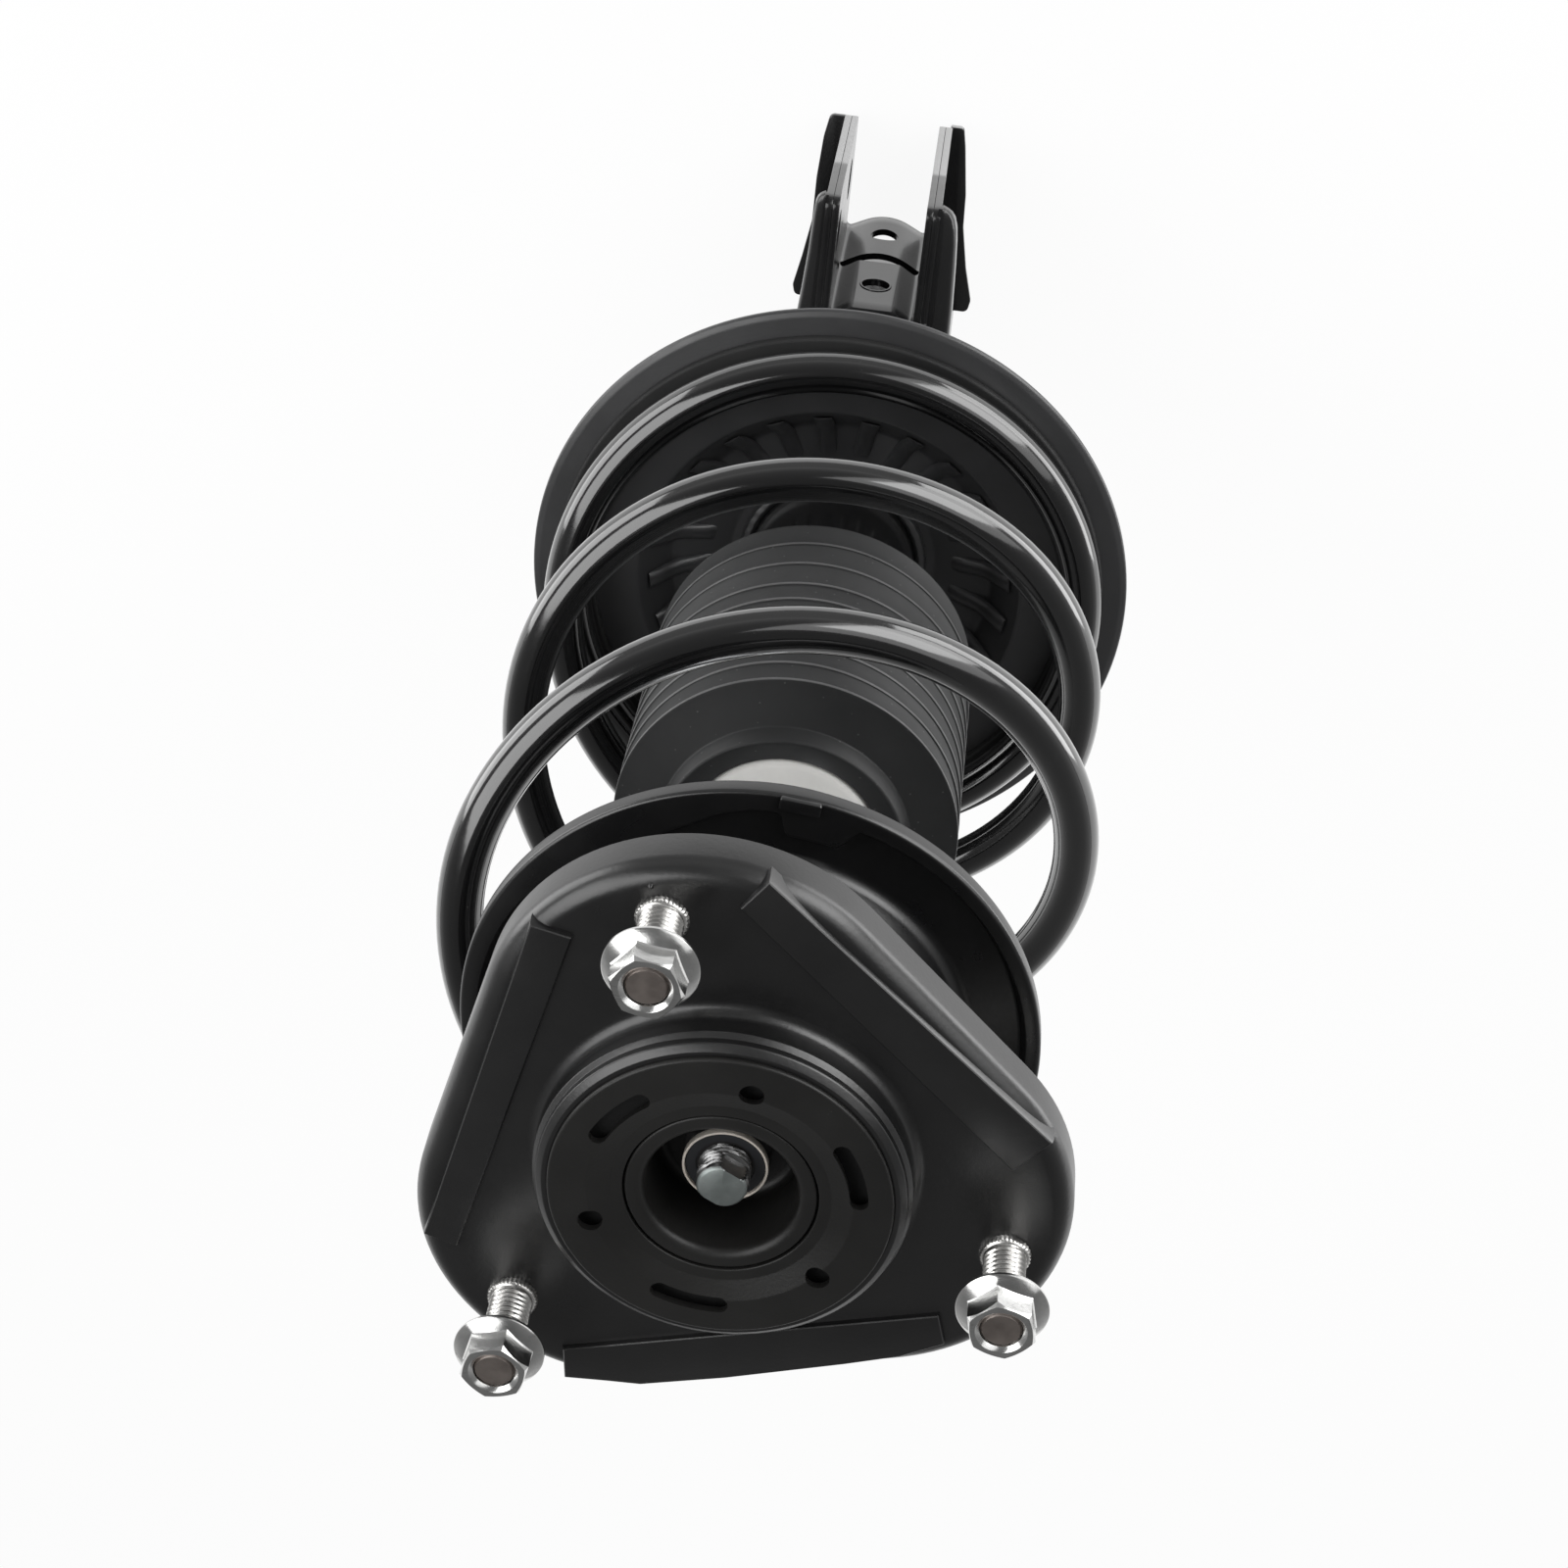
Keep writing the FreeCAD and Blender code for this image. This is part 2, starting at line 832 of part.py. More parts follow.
def make_flange_nuts():
    """Three hexagon nuts with a round flange, run part of the way down the studs."""
    bore = d.stud_radius - d.thread_depth + d.thread_gap
    height = d.nut_top - d.nut_seat
    corner = d.nut_across_flats / (2 * math.cos(math.pi / 6))
    bevel = (corner - d.nut_across_flats / 2) * 0.6
    envelope = new_body("nut_envelope")
    add_turned(
        envelope,
        [
            (as_size(0.0), d.nut_seat),
            (d.nut_flange, d.nut_seat),
            (d.nut_flange, d.nut_top - bevel),
            (corner, d.nut_top - bevel),
            (corner - bevel * 2, d.nut_top),
            (as_size(0.0), d.nut_top),
        ],
    )
    flange = doc.addObject("Part::Cone", "flange")
    bind(flange, "Radius1", d.nut_flange)
    bind(flange, "Radius2", d.nut_across_flats / 2)
    bind(flange, "Height", d.nut_flange_thick * 1.6)
    bind(flange, "Placement.Base.z", d.nut_seat + d.nut_flange_thick * 0.5)
    rim = cylinder(d.nut_flange, d.nut_seat, d.nut_flange_thick * 0.5)
    solid = common(fuse(hexagon(d.nut_across_flats, d.nut_seat, height), flange, rim), envelope)
    nut = cut(solid, cylinder(bore, d.nut_seat, height))
    doc.recompute()
    holder = doc.addObject("Part::Feature", "nut_on_stud")
    holder.Shape = nut.Shape.copy()
    holder.Placement.Base.x = d.stud_circle.value
    return keep(ring_of("nuts", holder, STUD_COUNT, d.stud_angle.value), "flange_nuts")


def make_rod_nut():
    """Locking nut on the rod, with its plastic ring held in a round collar."""
    low = d.cup_floor + d.washer_thick
    hex_top = low + d.rod_nut_hex
    top = hex_top + d.rod_nut_collar_rise
    wall = d.rod_nut_collar_wall
    bore = d.spigot_radius - d.thread_depth + d.thread_gap
    collar = cut(
        cylinder(d.rod_nut_collar, hex_top, d.rod_nut_collar_rise),
        cylinder(d.rod_nut_collar - wall, hex_top, d.rod_nut_collar_rise),
    )
    solid = fuse(hexagon(d.rod_nut_across_flats, low, d.rod_nut_hex), collar)
    keep(cut(solid, cylinder(bore, low, d.rod_nut_hex)), "rod_nut")
    outer = d.rod_nut_collar - wall - d.thread_gap
    turned_body(
        "nut_insert",
        [
            (d.insert_inner, hex_top),
            (outer, hex_top),
            (outer, top - wall),
            (d.insert_inner, top - wall),
        ],
    )


# Strut bearing


def make_bearing():
    """Two grooved races, a cage and the balls between them."""
    groove = doc.addObject("Part::Torus", "groove")
    bind(groove, "Radius1", d.ball_circle)
    bind(groove, "Radius2", d.ball_radius + d.ball_gap)
    bind(groove, "Placement.Base.z", ball_level)
    for label, low in (
        ("bearing_upper_race", upper_race_bottom),
        ("bearing_lower_race", seat_top),
    ):
        ring = cut(
            cylinder(d.race_outer, low, d.race_thick),
            cylinder(d.race_inner, low, d.race_thick),
        )
        keep(cut(ring, groove), label)
    cage_low = ball_level - d.cage_thick / 2
    ring = cut(
        cylinder(d.ball_circle + d.cage_half_width, cage_low, d.cage_thick),
        cylinder(d.ball_circle - d.cage_half_width, cage_low, d.cage_thick),
    )
    pocket = cylinder(d.ball_radius + d.pocket_gap, cage_low, d.cage_thick, x=d.ball_circle)
    pockets = ring_of("pockets", pocket, BALL_COUNT, 0.0)
    keep(cut(ring, pockets), "bearing_cage")
    ball = doc.addObject("Part::Sphere", "ball")
    bind(ball, "Radius", d.ball_radius)
    bind(ball, "Placement.Base.x", d.ball_circle)
    bind(ball, "Placement.Base.z", ball_level)
    keep(ring_of("balls", ball, BALL_COUNT, 0.0), "bearing_balls")


# Spring and its seats


def make_upper_seat():
    """Pressed dish under the bearing that the spring pushes on."""
    body = new_body("upper_seat_blank")
    sheet_gap = d.seat_sheet
    edge = d.seat_edge_radius
    crest = d.seat_crest
    rim_low = crest - d.seat_skirt
    neck_low = seat_top - d.seat_neck
    add_turned(
        body,
        [
            (d.seat_bore, neck_low),
            (d.seat_bore + sheet_gap, neck_low),
            (d.seat_bore + sheet_gap, seat_top - sheet_gap),
            (d.seat_shelf - sheet_gap * 0.6, seat_top - sheet_gap),
            (seat_channel_inner - sheet_gap * 0.6, channel_top - sheet_gap),
            (seat_land_inner, channel_top - sheet_gap),
            (seat_land_inner + sheet_gap * 0.6, crest - sheet_gap),
            (d.seat_radius - sheet_gap, crest - sheet_gap),
            (d.seat_radius - sheet_gap, rim_low),
            (d.seat_radius, rim_low),
            (d.seat_radius, crest - edge),
            (d.seat_radius - edge * 0.3, crest - edge * 0.3),
            (d.seat_radius - edge, crest),
            (seat_land_inner + sheet_gap * 0.3, crest),
            (seat_land_inner - sheet_gap * 0.3, channel_top),
            (seat_channel_inner, channel_top),
            (d.seat_shelf, seat_top),
            (d.seat_bore, seat_top),
        ],
    )
    half = d.lug_width / 2
    add_pad(
        body,
        lambda sketch: draw_polygon(
            sketch,
            [
                (seat_land_inner + sheet_gap, -half),
                (d.seat_radius - edge, -half),
                (d.seat_radius - edge, half),
                (seat_land_inner + sheet_gap, half),
            ],
        ),
        crest - sheet_gap / 2,
        sheet_gap / 2 + d.lug_rise,
    )
    bind(body, "Placement.Rotation.Angle", d.lug_angle)
    return keep(body, "upper_spring_seat")


def make_isolators():
    """Rubber rings between the spring's end coils and its two seats."""
    under = channel_top - d.seat_sheet - d.bond_gap
    under_crest = d.seat_crest - d.seat_sheet - d.bond_gap
    outer = d.seat_radius - d.seat_sheet - d.bond_gap
    inner = seat_channel_inner + d.seat_sheet
    turned_body(
        "upper_isolator",
        [
            (inner, isolator_bottom),
            (outer, isolator_bottom),
            (outer, under_crest),
            (seat_land_inner + d.seat_sheet * 0.7, under_crest),
            (seat_land_inner + d.bond_gap, under),
            (inner, under),
        ],
    )
    turned_body(
        "lower_isolator",
        [
            (lower_isolator_inner, pan_top),
            (lower_isolator_outer, pan_top),
            (lower_isolator_outer, pan_top + d.isolator_thick),
            (lower_isolator_inner, pan_top + d.isolator_thick),
        ],
    )


# Turns of the spring are counted from its top coil at -Y, upwards positive.
# Each row is the turn, the share of the way from the upper wire level to the lower one,
# and the share of the way from the full coil radius to the small end coil.
SPRING_COURSE = (
    (1.35, 0.0, 1.0),
    (1.0, 0.0, 1.0),
    (0.72, 0.003, 1.0),
    (0.5, 0.038, 0.48),
    (0.3, 0.099, 0.05),
    (0.2, 0.138, 0.0),
    (0.0, 0.251, 0.0),
    (-0.25, 0.384, 0.0),
    (-0.5, 0.5, 0.0),
    (-0.75, 0.589, 0.0),
    (-1.0, 0.65, 0.0),
    (-1.25, 0.751, 0.0),
    (-1.5, 0.84, 0.0),
    (-1.75, 0.927, 0.0),
    (-2.0, 0.985, 0.0),
    (-2.2, 1.0, 0.0),
    (-2.5, 1.0, 0.0),
    (-2.75, 1.0, 0.0),
)
SPRING_POINTS_PER_TURN = 16


def smooth_course(turn, column):
    """Reads one column of the course at any turn, with a smooth slope."""
    rows = SPRING_COURSE
    turns = [row[0] for row in rows]
    values = [row[column] for row in rows]
    slopes = []
    for i in range(len(rows)):
        if i in (0, len(rows) - 1):
            slopes.append(0.0)
            continue
        before = (values[i] - values[i - 1]) / (turns[i] - turns[i - 1])
        after = (values[i + 1] - values[i]) / (turns[i + 1] - turns[i])
        slopes.append(0.0 if before * after <= 0 else 2 * before * after / (before + after))
    for i in range(len(rows) - 1):
        if turns[i + 1] <= turn <= turns[i]:
            step = turns[i + 1] - turns[i]
            u = (turn - turns[i]) / step
            return (
                values[i] * (1 + 2 * u) * (1 - u) ** 2
                + values[i + 1] * u * u * (3 - 2 * u)
                + slopes[i] * step * u * (1 - u) ** 2
                + slopes[i + 1] * step * u * u * (u - 1)
            )
    return values[-1]


def make_coil_spring():
    """Round wire swept along a right-handed coil with flat end turns."""
    first = SPRING_COURSE[0][0]
    last = SPRING_COURSE[-1][0]
    count = int(round((first - last) * SPRING_POINTS_PER_TURN))
    radius = d.coil_radius.value
    small = (d.seat_radius - d.end_coil_inset).value
    top = upper_wire.value
    drop = top - d.lower_wire.value
    points = []
    for i in range(count + 1):
        turn = first + (last - first) * i / count
        angle = 2 * math.pi * turn + math.radians(d.spring_angle.value)
        reach = radius + (small - radius) * smooth_course(turn, 2)
        height = top - drop * smooth_course(turn, 1)
        points.append(VECTOR(reach * math.sin(angle), -reach * math.cos(angle), height))
    path = Part.BSplineCurve()
    path.interpolate(points)
    edge = path.toShape()
    section = Part.Circle(points[0], path.tangent(path.FirstParameter)[0], d.wire_radius.value)
    pipe = Part.BRepOffsetAPI.MakePipeShell(Part.Wire([edge]))
    pipe.setFrenetMode(False)
    pipe.add(Part.Wire([section.toShape()]))
    pipe.build()
    pipe.makeSolid()
    item = doc.addObject("Part::Feature", "coil_spring")
    item.Shape = pipe.shape()
    return keep(item, "coil_spring")


def make_lower_seat():
    """Wide pressed pan with a bowl, welded to the tube at its hub, with ribs round the bowl."""
    body = new_body("lower_spring_seat")
    gap = d.pan_sheet
    floor = pan_top - d.pan_floor_drop
    hub = pan_top - d.pan_hub_drop
    bore = d.tube_radius + d.bond_gap
    wall_share = (d.pan_floor_drop - d.rib_stop) / d.pan_floor_drop
    floor_share = (d.rib_inner - d.pan_hub) / (d.pan_floor - d.pan_hub)
    add_turned(
        body,
        [
            (bore, hub - d.pan_collar),
            (bore + gap, hub - d.pan_collar),
            (bore + gap, hub - gap),
            (d.pan_hub, hub - gap),
            (d.pan_floor + gap * 0.4, floor - gap),
            (pan_step + gap * 0.4, pan_top - gap),
            (pan_shoulder, pan_top - gap),
            (d.pan_radius, pan_top - d.pan_rim_drop),
            (d.pan_radius - d.pan_rim_slant, pan_top - d.pan_rim_fall),
            (pan_shoulder, pan_top),
            (pan_step, pan_top),
            (d.pan_floor, floor),
            (d.pan_hub, hub),
            (bore, hub),
        ],
    )
    foot = hub + (floor - hub) * floor_share
    top_radius = d.pan_floor + (pan_step - d.pan_floor) * wall_share
    rib = add_pad(
        body,
        lambda sketch: draw_polygon(
            sketch,
            [
                (d.rib_inner, foot - gap / 3),
                (d.pan_floor, floor - gap / 3),
                (top_radius + gap / 3, pan_top - d.rib_stop),
                (top_radius, pan_top - d.rib_stop),
                (d.pan_floor - d.rib_rise, floor + d.rib_rise),
                (d.rib_inner + d.rib_rise, foot + d.rib_rise),
                (d.rib_inner, foot),
            ],
        ),
        as_size(0.0),
        d.rib_width,
        role="XZ_Plane",
        both_ways=True,
    )
    repeat_around(body, [rib], RIB_COUNT)
    return keep(body, "lower_spring_seat")


# Damper


def make_piston_rod():
    """Chromed rod with a threaded top, two flats at its tip and a spigot for the piston."""
    thread = d.spigot_radius - d.thread_depth
    axis = as_size(0.0)
    spigot_end = piston_top_level - d.piston_length - d.piston_nut_length - d.rod_end_past_nut
    body = new_body("rod_blank")
    add_turned(
        body,
        [
            (axis, spigot_end),
            (thread, spigot_end),
            (thread, piston_top_level - d.piston_length),
            (d.spigot_radius, piston_top_level - d.piston_length),
            (d.spigot_radius, piston_top_level),
            (d.rod_radius, piston_top_level),
            (d.rod_radius, rod_shoulder),
            (d.spigot_radius, rod_shoulder),
            (d.spigot_radius, d.cup_floor),
            (thread, d.cup_floor),
            (thread, d.rod_top - d.thread_depth),
            (thread - d.thread_depth, d.rod_top),
            (axis, d.rod_top),
        ],
    )
    length = d.rod_flat_length
    flat_low = d.rod_top - length
    past_top = d.rod_top + d.overshoot
    near = block(d.spigot_radius, -d.spigot_radius * 2, -d.rod_flat, flat_low, past_top)
    far = block(d.spigot_radius, d.rod_flat, d.spigot_radius * 2, flat_low, past_top)
    return keep(cut(cut(body, near), far), "piston_rod")


def make_piston():
    """Piston with its band, the nut that holds it and the rubber stop above it."""
    radius = d.pressure_bore - d.slide_gap
    bore = d.spigot_radius + d.running_gap
    low = piston_top_level - d.piston_length
    band_low = low + (d.piston_length - d.piston_band_length) / 2
    band_high = band_low + d.piston_band_length
    groove = radius - d.piston_band_depth
    turned_body(
        "piston",
        [
            (bore, low),
            (radius, low),
            (radius, band_low),
            (groove, band_low),
            (groove, band_high),
            (radius, band_high),
            (radius, piston_top_level),
            (bore, piston_top_level),
        ],
    )
    turned_body(
        "piston_band",
        [
            (groove + d.running_gap, band_low),
            (d.pressure_bore - d.running_gap, band_low),
            (d.pressure_bore - d.running_gap, band_high),
            (groove + d.running_gap, band_high),
        ],
    )
    nut_low = low - d.piston_nut_length
    nut_bore = d.spigot_radius - d.thread_depth + d.thread_gap
    keep(
        cut(
            hexagon(d.piston_nut_across_flats, nut_low, d.piston_nut_length),
            cylinder(nut_bore, nut_low, d.piston_nut_length),
        ),
        "piston_nut",
    )
    stop_bore = d.rod_radius + d.running_gap
    turned_body(
        "rebound_stop",
        [
            (stop_bore, piston_top_level),
            (d.rebound_stop_radius, piston_top_level),
            (d.rebound_stop_radius, piston_top_level + d.rebound_stop_length),
            (stop_bore, piston_top_level + d.rebound_stop_length),
        ],
    )


def make_tubes():
    """Outer tube with its closed bottom, and the pressure tube inside it."""
    inner = d.tube_radius - d.tube_wall
    guide_low = d.tube_top - d.seal_thick - d.guide_flange
    cap_low = d.tube_bottom + d.end_cap_inset
    cap_top = cap_low + d.end_cap_thick
    valve_top = cap_top + d.valve_flange
    turned_body(
        "damper_tube",
        [
            (inner, d.tube_bottom),
            (d.tube_radius, d.tube_bottom),
            (d.tube_radius, d.tube_top),
            (inner, d.tube_top),
        ],
    )
    axis = as_size(0.0)
    turned_body(
        "tube_end_cap",
        [
            (axis, cap_low),
            (inner - d.bond_gap, cap_low),
            (inner - d.bond_gap, cap_top),
            (axis, cap_top),
        ],
    )
    turned_body(
        "base_valve",
        [
            (axis, cap_top),
            (d.pressure_bore + d.pressure_wall, cap_top),
            (d.pressure_bore + d.pressure_wall, valve_top),
            (d.pressure_bore - d.bond_gap, valve_top),
            (d.pressure_bore - d.bond_gap, valve_top + d.valve_spigot),
            (axis, valve_top + d.valve_spigot),
        ],
    )
    turned_body(
        "pressure_tube",
        [
            (d.pressure_bore, valve_top),
            (d.pressure_bore + d.pressure_wall, valve_top),
            (d.pressure_bore + d.pressure_wall, guide_low),
            (d.pressure_bore, guide_low),
        ],
    )


def make_tube_head():
    """Rod guide, its bush, the rod seal and the cap over the tube's end."""
    inner = d.tube_radius - d.tube_wall
    seal_low = d.tube_top - d.seal_thick
    guide_low = seal_low - d.guide_flange
    boss_low = guide_low - d.guide_boss
    bush_outer = d.rod_radius + d.running_gap + d.bush_wall
    guide_bore = bush_outer + d.running_gap
    boss = d.pressure_bore - d.bond_gap
    turned_body(
        "rod_guide",
        [
            (guide_bore, boss_low),
            (boss, boss_low),
            (boss, guide_low),
            (inner - d.bond_gap, guide_low),
            (inner - d.bond_gap, seal_low),
            (guide_bore, seal_low),
        ],
    )
    turned_body(
        "rod_bush",
        [
            (d.rod_radius + d.running_gap, boss_low),
            (bush_outer, boss_low),
            (bush_outer, seal_low),
            (d.rod_radius + d.running_gap, seal_low),
        ],
    )
    turned_body(
        "rod_seal",
        [
            (d.rod_radius + d.running_gap, seal_low),
            (inner - d.bond_gap, seal_low),
            (inner - d.bond_gap, d.tube_top),
            (d.rod_radius + d.running_gap, d.tube_top),
        ],
    )
    skirt = d.tube_radius + d.bond_gap
    outer = skirt + d.bump_cap_sheet
    top = d.tube_top + d.bump_cap_sheet
    turned_body(
        "bump_cap",
        [
            (skirt, d.tube_top - d.bump_cap_skirt),
            (outer, d.tube_top - d.bump_cap_skirt),
            (outer, top - d.bump_cap_sheet / 2),
            (outer - d.bump_cap_sheet / 2, top),
            (d.rod_radius + d.slide_gap * 2, top),
            (d.rod_radius + d.slide_gap * 2, d.tube_top),
            (skirt, d.tube_top),
        ],
    )


def make_bump_stop():
    """Foam buffer round the rod, with two waists, resting on the tube's cap."""
    low = d.tube_top + d.bump_cap_sheet
    length = d.bump_top - low
    return turned_body(
        "bump_stop",
        [
            (d.bump_bore, low),
            (d.bump_body * 0.9, low),
            (d.bump_body, low + length * 0.1),
            (d.bump_body, low + length * 0.22),
            (d.bump_groove, low + length * 0.3),
            (d.bump_body, low + length * 0.38),
            (d.bump_body, low + length * 0.54),
            (d.bump_groove, low + length * 0.62),
            (d.bump_body, low + length * 0.7),
            (d.bump_flange, low + length * 0.8),
            (d.bump_flange, d.bump_top - d.bump_bevel),
            (d.bump_flange - d.bump_bevel, d.bump_top),
            (d.bump_bore, d.bump_top),
        ],
    )


def make_dust_boot():
    """Bellows with six narrow folds, three wide ones, a flat cone and a collar at its mouth."""
    wall = d.boot_wall
    near = d.boot_near
    crest = d.boot_radius
    valley = d.boot_radius - d.boot_groove
    outside = [
        (d.boot_mouth, near + d.boot_mouth_rise),
        (d.boot_collar, near + d.boot_collar_rise),
        (d.boot_collar_foot, near + d.boot_cone_rise),
        (crest - d.boot_shoulder, near + d.boot_bead / 4),
    ]
    inside = [(d.boot_mouth, near + d.boot_mouth_rise - wall)]
    inside += [(radius - wall, height - wall) for radius, height in outside[1:]]
    level = near
    for pitch in [d.fine_pitch] * FINE_FOLDS + [d.wide_pitch] * WIDE_FOLDS:
        neck = [
            (valley, level - d.boot_bead * 2),
            (valley, level - d.boot_bead * 3),
            (crest - d.boot_flare, level - pitch + d.boot_bead),
        ]
        outside += [(crest, level), (crest, level - d.boot_bead)] + neck
        inside += [(radius - wall, height) for radius, height in neck]
        level = level - pitch
    outside.append((crest, level))
    inside.append((crest - d.boot_flare - wall, level))
    return turned_body("dust_boot", outside + inside[::-1])


# Knuckle bracket


def make_bracket_side(body_name, corner):
    """The ears' outline seen from the side, as a wide block to trim with."""
    body = new_body(body_name)
    back = wrap_outer + d.overshoot
    pad = add_pad(
        body,
        lambda sketch: draw_polygon(
            sketch,
            [
                (-d.ear_reach, d.bracket_bottom),
                (back, d.bracket_bottom),
                (back, d.wrap_top),
                (-d.wrap_start, d.wrap_top),
                (-d.ear_back, d.ear_top),
                (-d.ear_reach, d.ear_top),
            ],
        ),
        as_size(0.0),
        d.flange_rear * 3,
        role="YZ_Plane",
        both_ways=True,
    )
    front = -d.ear_reach.value
    round_edges(
        body,
        pad,
        corner,
        lambda edge: all(abs(vertex.Y - front) < 1e-6 for vertex in edge.Vertexes)
        and abs(edge.Vertexes[0].Z - edge.Vertexes[1].Z) < 1e-6,
    )
    return body


def flange_plate(points, low):
    """A flat plate of the bracket's sheet, made on both sides of the YZ plane."""
    body = new_body("flange")
    mirrored = [(-as_size(x), y) for x, y in reversed(points)]
    add_pad(
        body,
        lambda sketch: draw_polygon(sketch, points + mirrored),
        low,
        d.bracket_sheet,
    )
    return body


def make_knuckle_bracket():
    """Outer bracket: wraps the tube, runs forward as two ears and has turned-out flanges."""
    height = d.wrap_top - d.bracket_bottom
    front = -d.ear_reach
    wrap = fuse(
        cylinder(wrap_outer, d.bracket_bottom, height),
        block(ear_outer, front, as_size(0.0), d.bracket_bottom, d.wrap_top),
    )
    trimmed = common(wrap, make_bracket_side("ear_side", d.ear_corner))
    bottom_flange = flange_plate(
        [
            (ear_outer - d.flange_lap, front),
            (d.flange_front, front + d.flange_bevel),
            (d.flange_middle, -d.tube_radius),
            (d.flange_rear, -d.flange_shoulder),
            (d.flange_rear, d.flange_end - d.flange_bevel),
            (d.flange_rear - d.flange_bevel, d.flange_end),
            (d.tube_radius, d.flange_end),
        ],
        d.bracket_bottom,
    )
    top_flange = flange_plate(
        [
            (ear_outer - d.flange_lap, front + d.flange_bevel / 2),
            (ear_outer + d.flange_bevel, front + d.flange_bevel / 2),
            (d.top_flange - d.flange_bevel * 1.6, front + d.flange_bevel * 2),
            (d.top_flange - d.flange_bevel, front + d.flange_bevel * 5),
            (d.top_flange, -d.ear_reach / 2),
            (d.top_flange, -d.tube_radius),
            (d.top_flange - d.flange_bevel * 2, -d.tube_radius * 0.6),
            (ear_outer - d.flange_lap, -d.tube_radius * 0.6),
        ],
        d.ear_top - d.bracket_sheet,
    )
    solid = fuse(trimmed, bottom_flange, top_flange)
    below = d.bracket_bottom - d.overshoot
    above = d.wrap_top + d.overshoot
    hollow = fuse(
        cylinder(wrap_inner, below, above - below),
        block(ear_middle, front - d.overshoot, -d.tube_radius / 5, below, above),
    )
    piece = cut(solid, hollow)
    for level in (d.bolt_low, d.bolt_high):
        piece = cut(piece, cross_bar(d.bolt_radius, d.flange_rear * 2, -d.bolt_reach, level))
    return keep(piece, "knuckle_bracket")


def make_bracket_liner():
    """Inner channel of the bracket: two liner sheets joined by a web with a long slot."""
    height = d.ear_top - d.bracket_bottom
    front = -d.ear_reach
    body = new_body("liner_blank")
    right_side = [
        (ear_middle, front),
        (ear_middle, -(d.web_edge - d.inner_sheet)),
        (d.web_facet, -(d.web_front - d.inner_sheet)),
    ]
    right_inside = [
        (d.web_facet, -d.web_front),
        (ear_inner, -d.web_edge),
        (ear_inner, front),
    ]
    left_side = [(-x, y) for x, y in reversed(right_side)]
    left_inside = [(-x, y) for x, y in reversed(right_inside)]
    add_pad(
        body,
        lambda sketch: draw_polygon(sketch, right_side + left_side + left_inside + right_inside),
        d.bracket_bottom,
        height,
    )
    piece = common(body, make_bracket_side("liner_side", d.ear_corner))
    before_web = -d.web_front - d.overshoot
    behind_web = d.inner_sheet - d.web_edge + d.overshoot
    slot = block(
        ear_inner - d.flange_lap / 2, before_web, behind_web, d.web_slot_low, d.web_slot_high
    )
    piece = cut(piece, slot)
    for level in (d.web_hole_low, d.web_hole_high):
        piece = cut(piece, front_bar(d.web_hole_radius, before_web, d.inner_sheet * 4, level))
    for level in (d.bolt_low, d.bolt_high):
        piece = cut(piece, cross_bar(d.bolt_radius, d.flange_rear * 2, -d.bolt_reach, level))
    return keep(piece, "bracket_liner")


make_mount_plate()
make_cover_disc()
make_rod_cup()
make_mount_rubber()
make_bearing_housing()
make_washers()
make_studs()
make_flange_nuts()
make_rod_nut()
make_bearing()
make_upper_seat()
make_isolators()
make_coil_spring()
make_lower_seat()
make_piston_rod()
make_piston()
make_tubes()
make_tube_head()
make_bump_stop()
make_dust_boot()
make_knuckle_bracket()
make_bracket_liner()
doc.recompute()

for item in doc.Objects:
    if "Invalid" in item.State or "Error" in item.State:
        raise RuntimeError("%s could not be made: %s" % (item.Name, item.State))
for item in parts:
    if item.Shape.isNull() or not item.Shape.isValid() or not item.Shape.Solids:
        raise RuntimeError("%s has no sound solid" % item.Label)

os.makedirs("parts", exist_ok=True)
for item in parts:
    item.Shape.exportStep("parts/%s.step" % item.Label)
    box = item.Shape.BoundBox
    print(
        "%-20s %2d solid(s) %9.0f mm3  z %7.1f to %7.1f"
        % (item.Label, len(item.Shape.Solids), item.Shape.Volume, box.ZMin, box.ZMax)
    )
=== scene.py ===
"""Looks of the strut assembly. Lengths in the making of the pieces are millimetres."""
import bpy
import bmesh
import json
import math
from mathutils import Matrix, Vector


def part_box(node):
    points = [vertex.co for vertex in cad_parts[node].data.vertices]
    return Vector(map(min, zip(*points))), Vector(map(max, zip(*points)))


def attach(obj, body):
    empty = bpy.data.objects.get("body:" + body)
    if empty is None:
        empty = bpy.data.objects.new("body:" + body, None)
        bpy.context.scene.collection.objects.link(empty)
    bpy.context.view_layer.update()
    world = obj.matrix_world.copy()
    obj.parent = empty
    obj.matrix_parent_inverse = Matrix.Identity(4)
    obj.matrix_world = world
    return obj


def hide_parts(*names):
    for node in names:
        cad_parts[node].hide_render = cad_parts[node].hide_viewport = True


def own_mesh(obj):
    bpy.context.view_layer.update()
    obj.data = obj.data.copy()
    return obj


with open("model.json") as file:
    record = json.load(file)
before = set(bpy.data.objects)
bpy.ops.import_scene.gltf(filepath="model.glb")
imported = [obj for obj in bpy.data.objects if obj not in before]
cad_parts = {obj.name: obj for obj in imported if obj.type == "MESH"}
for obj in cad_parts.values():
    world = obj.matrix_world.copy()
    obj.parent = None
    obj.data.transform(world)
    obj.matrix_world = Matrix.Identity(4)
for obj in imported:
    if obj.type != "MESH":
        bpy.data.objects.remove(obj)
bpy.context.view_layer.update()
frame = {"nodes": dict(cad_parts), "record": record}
nodes = frame["nodes"]
scene = bpy.context.scene
MM = 0.001
TAU = 2 * math.pi
SLOT_OF = {entry["node"]: entry["material_slot"] for entry in frame["record"]["subparts"]}
BODY_OF = {
    node: body
    for body, members in frame["record"]["behaviour"]["bodies"].items()
    for node in members
}


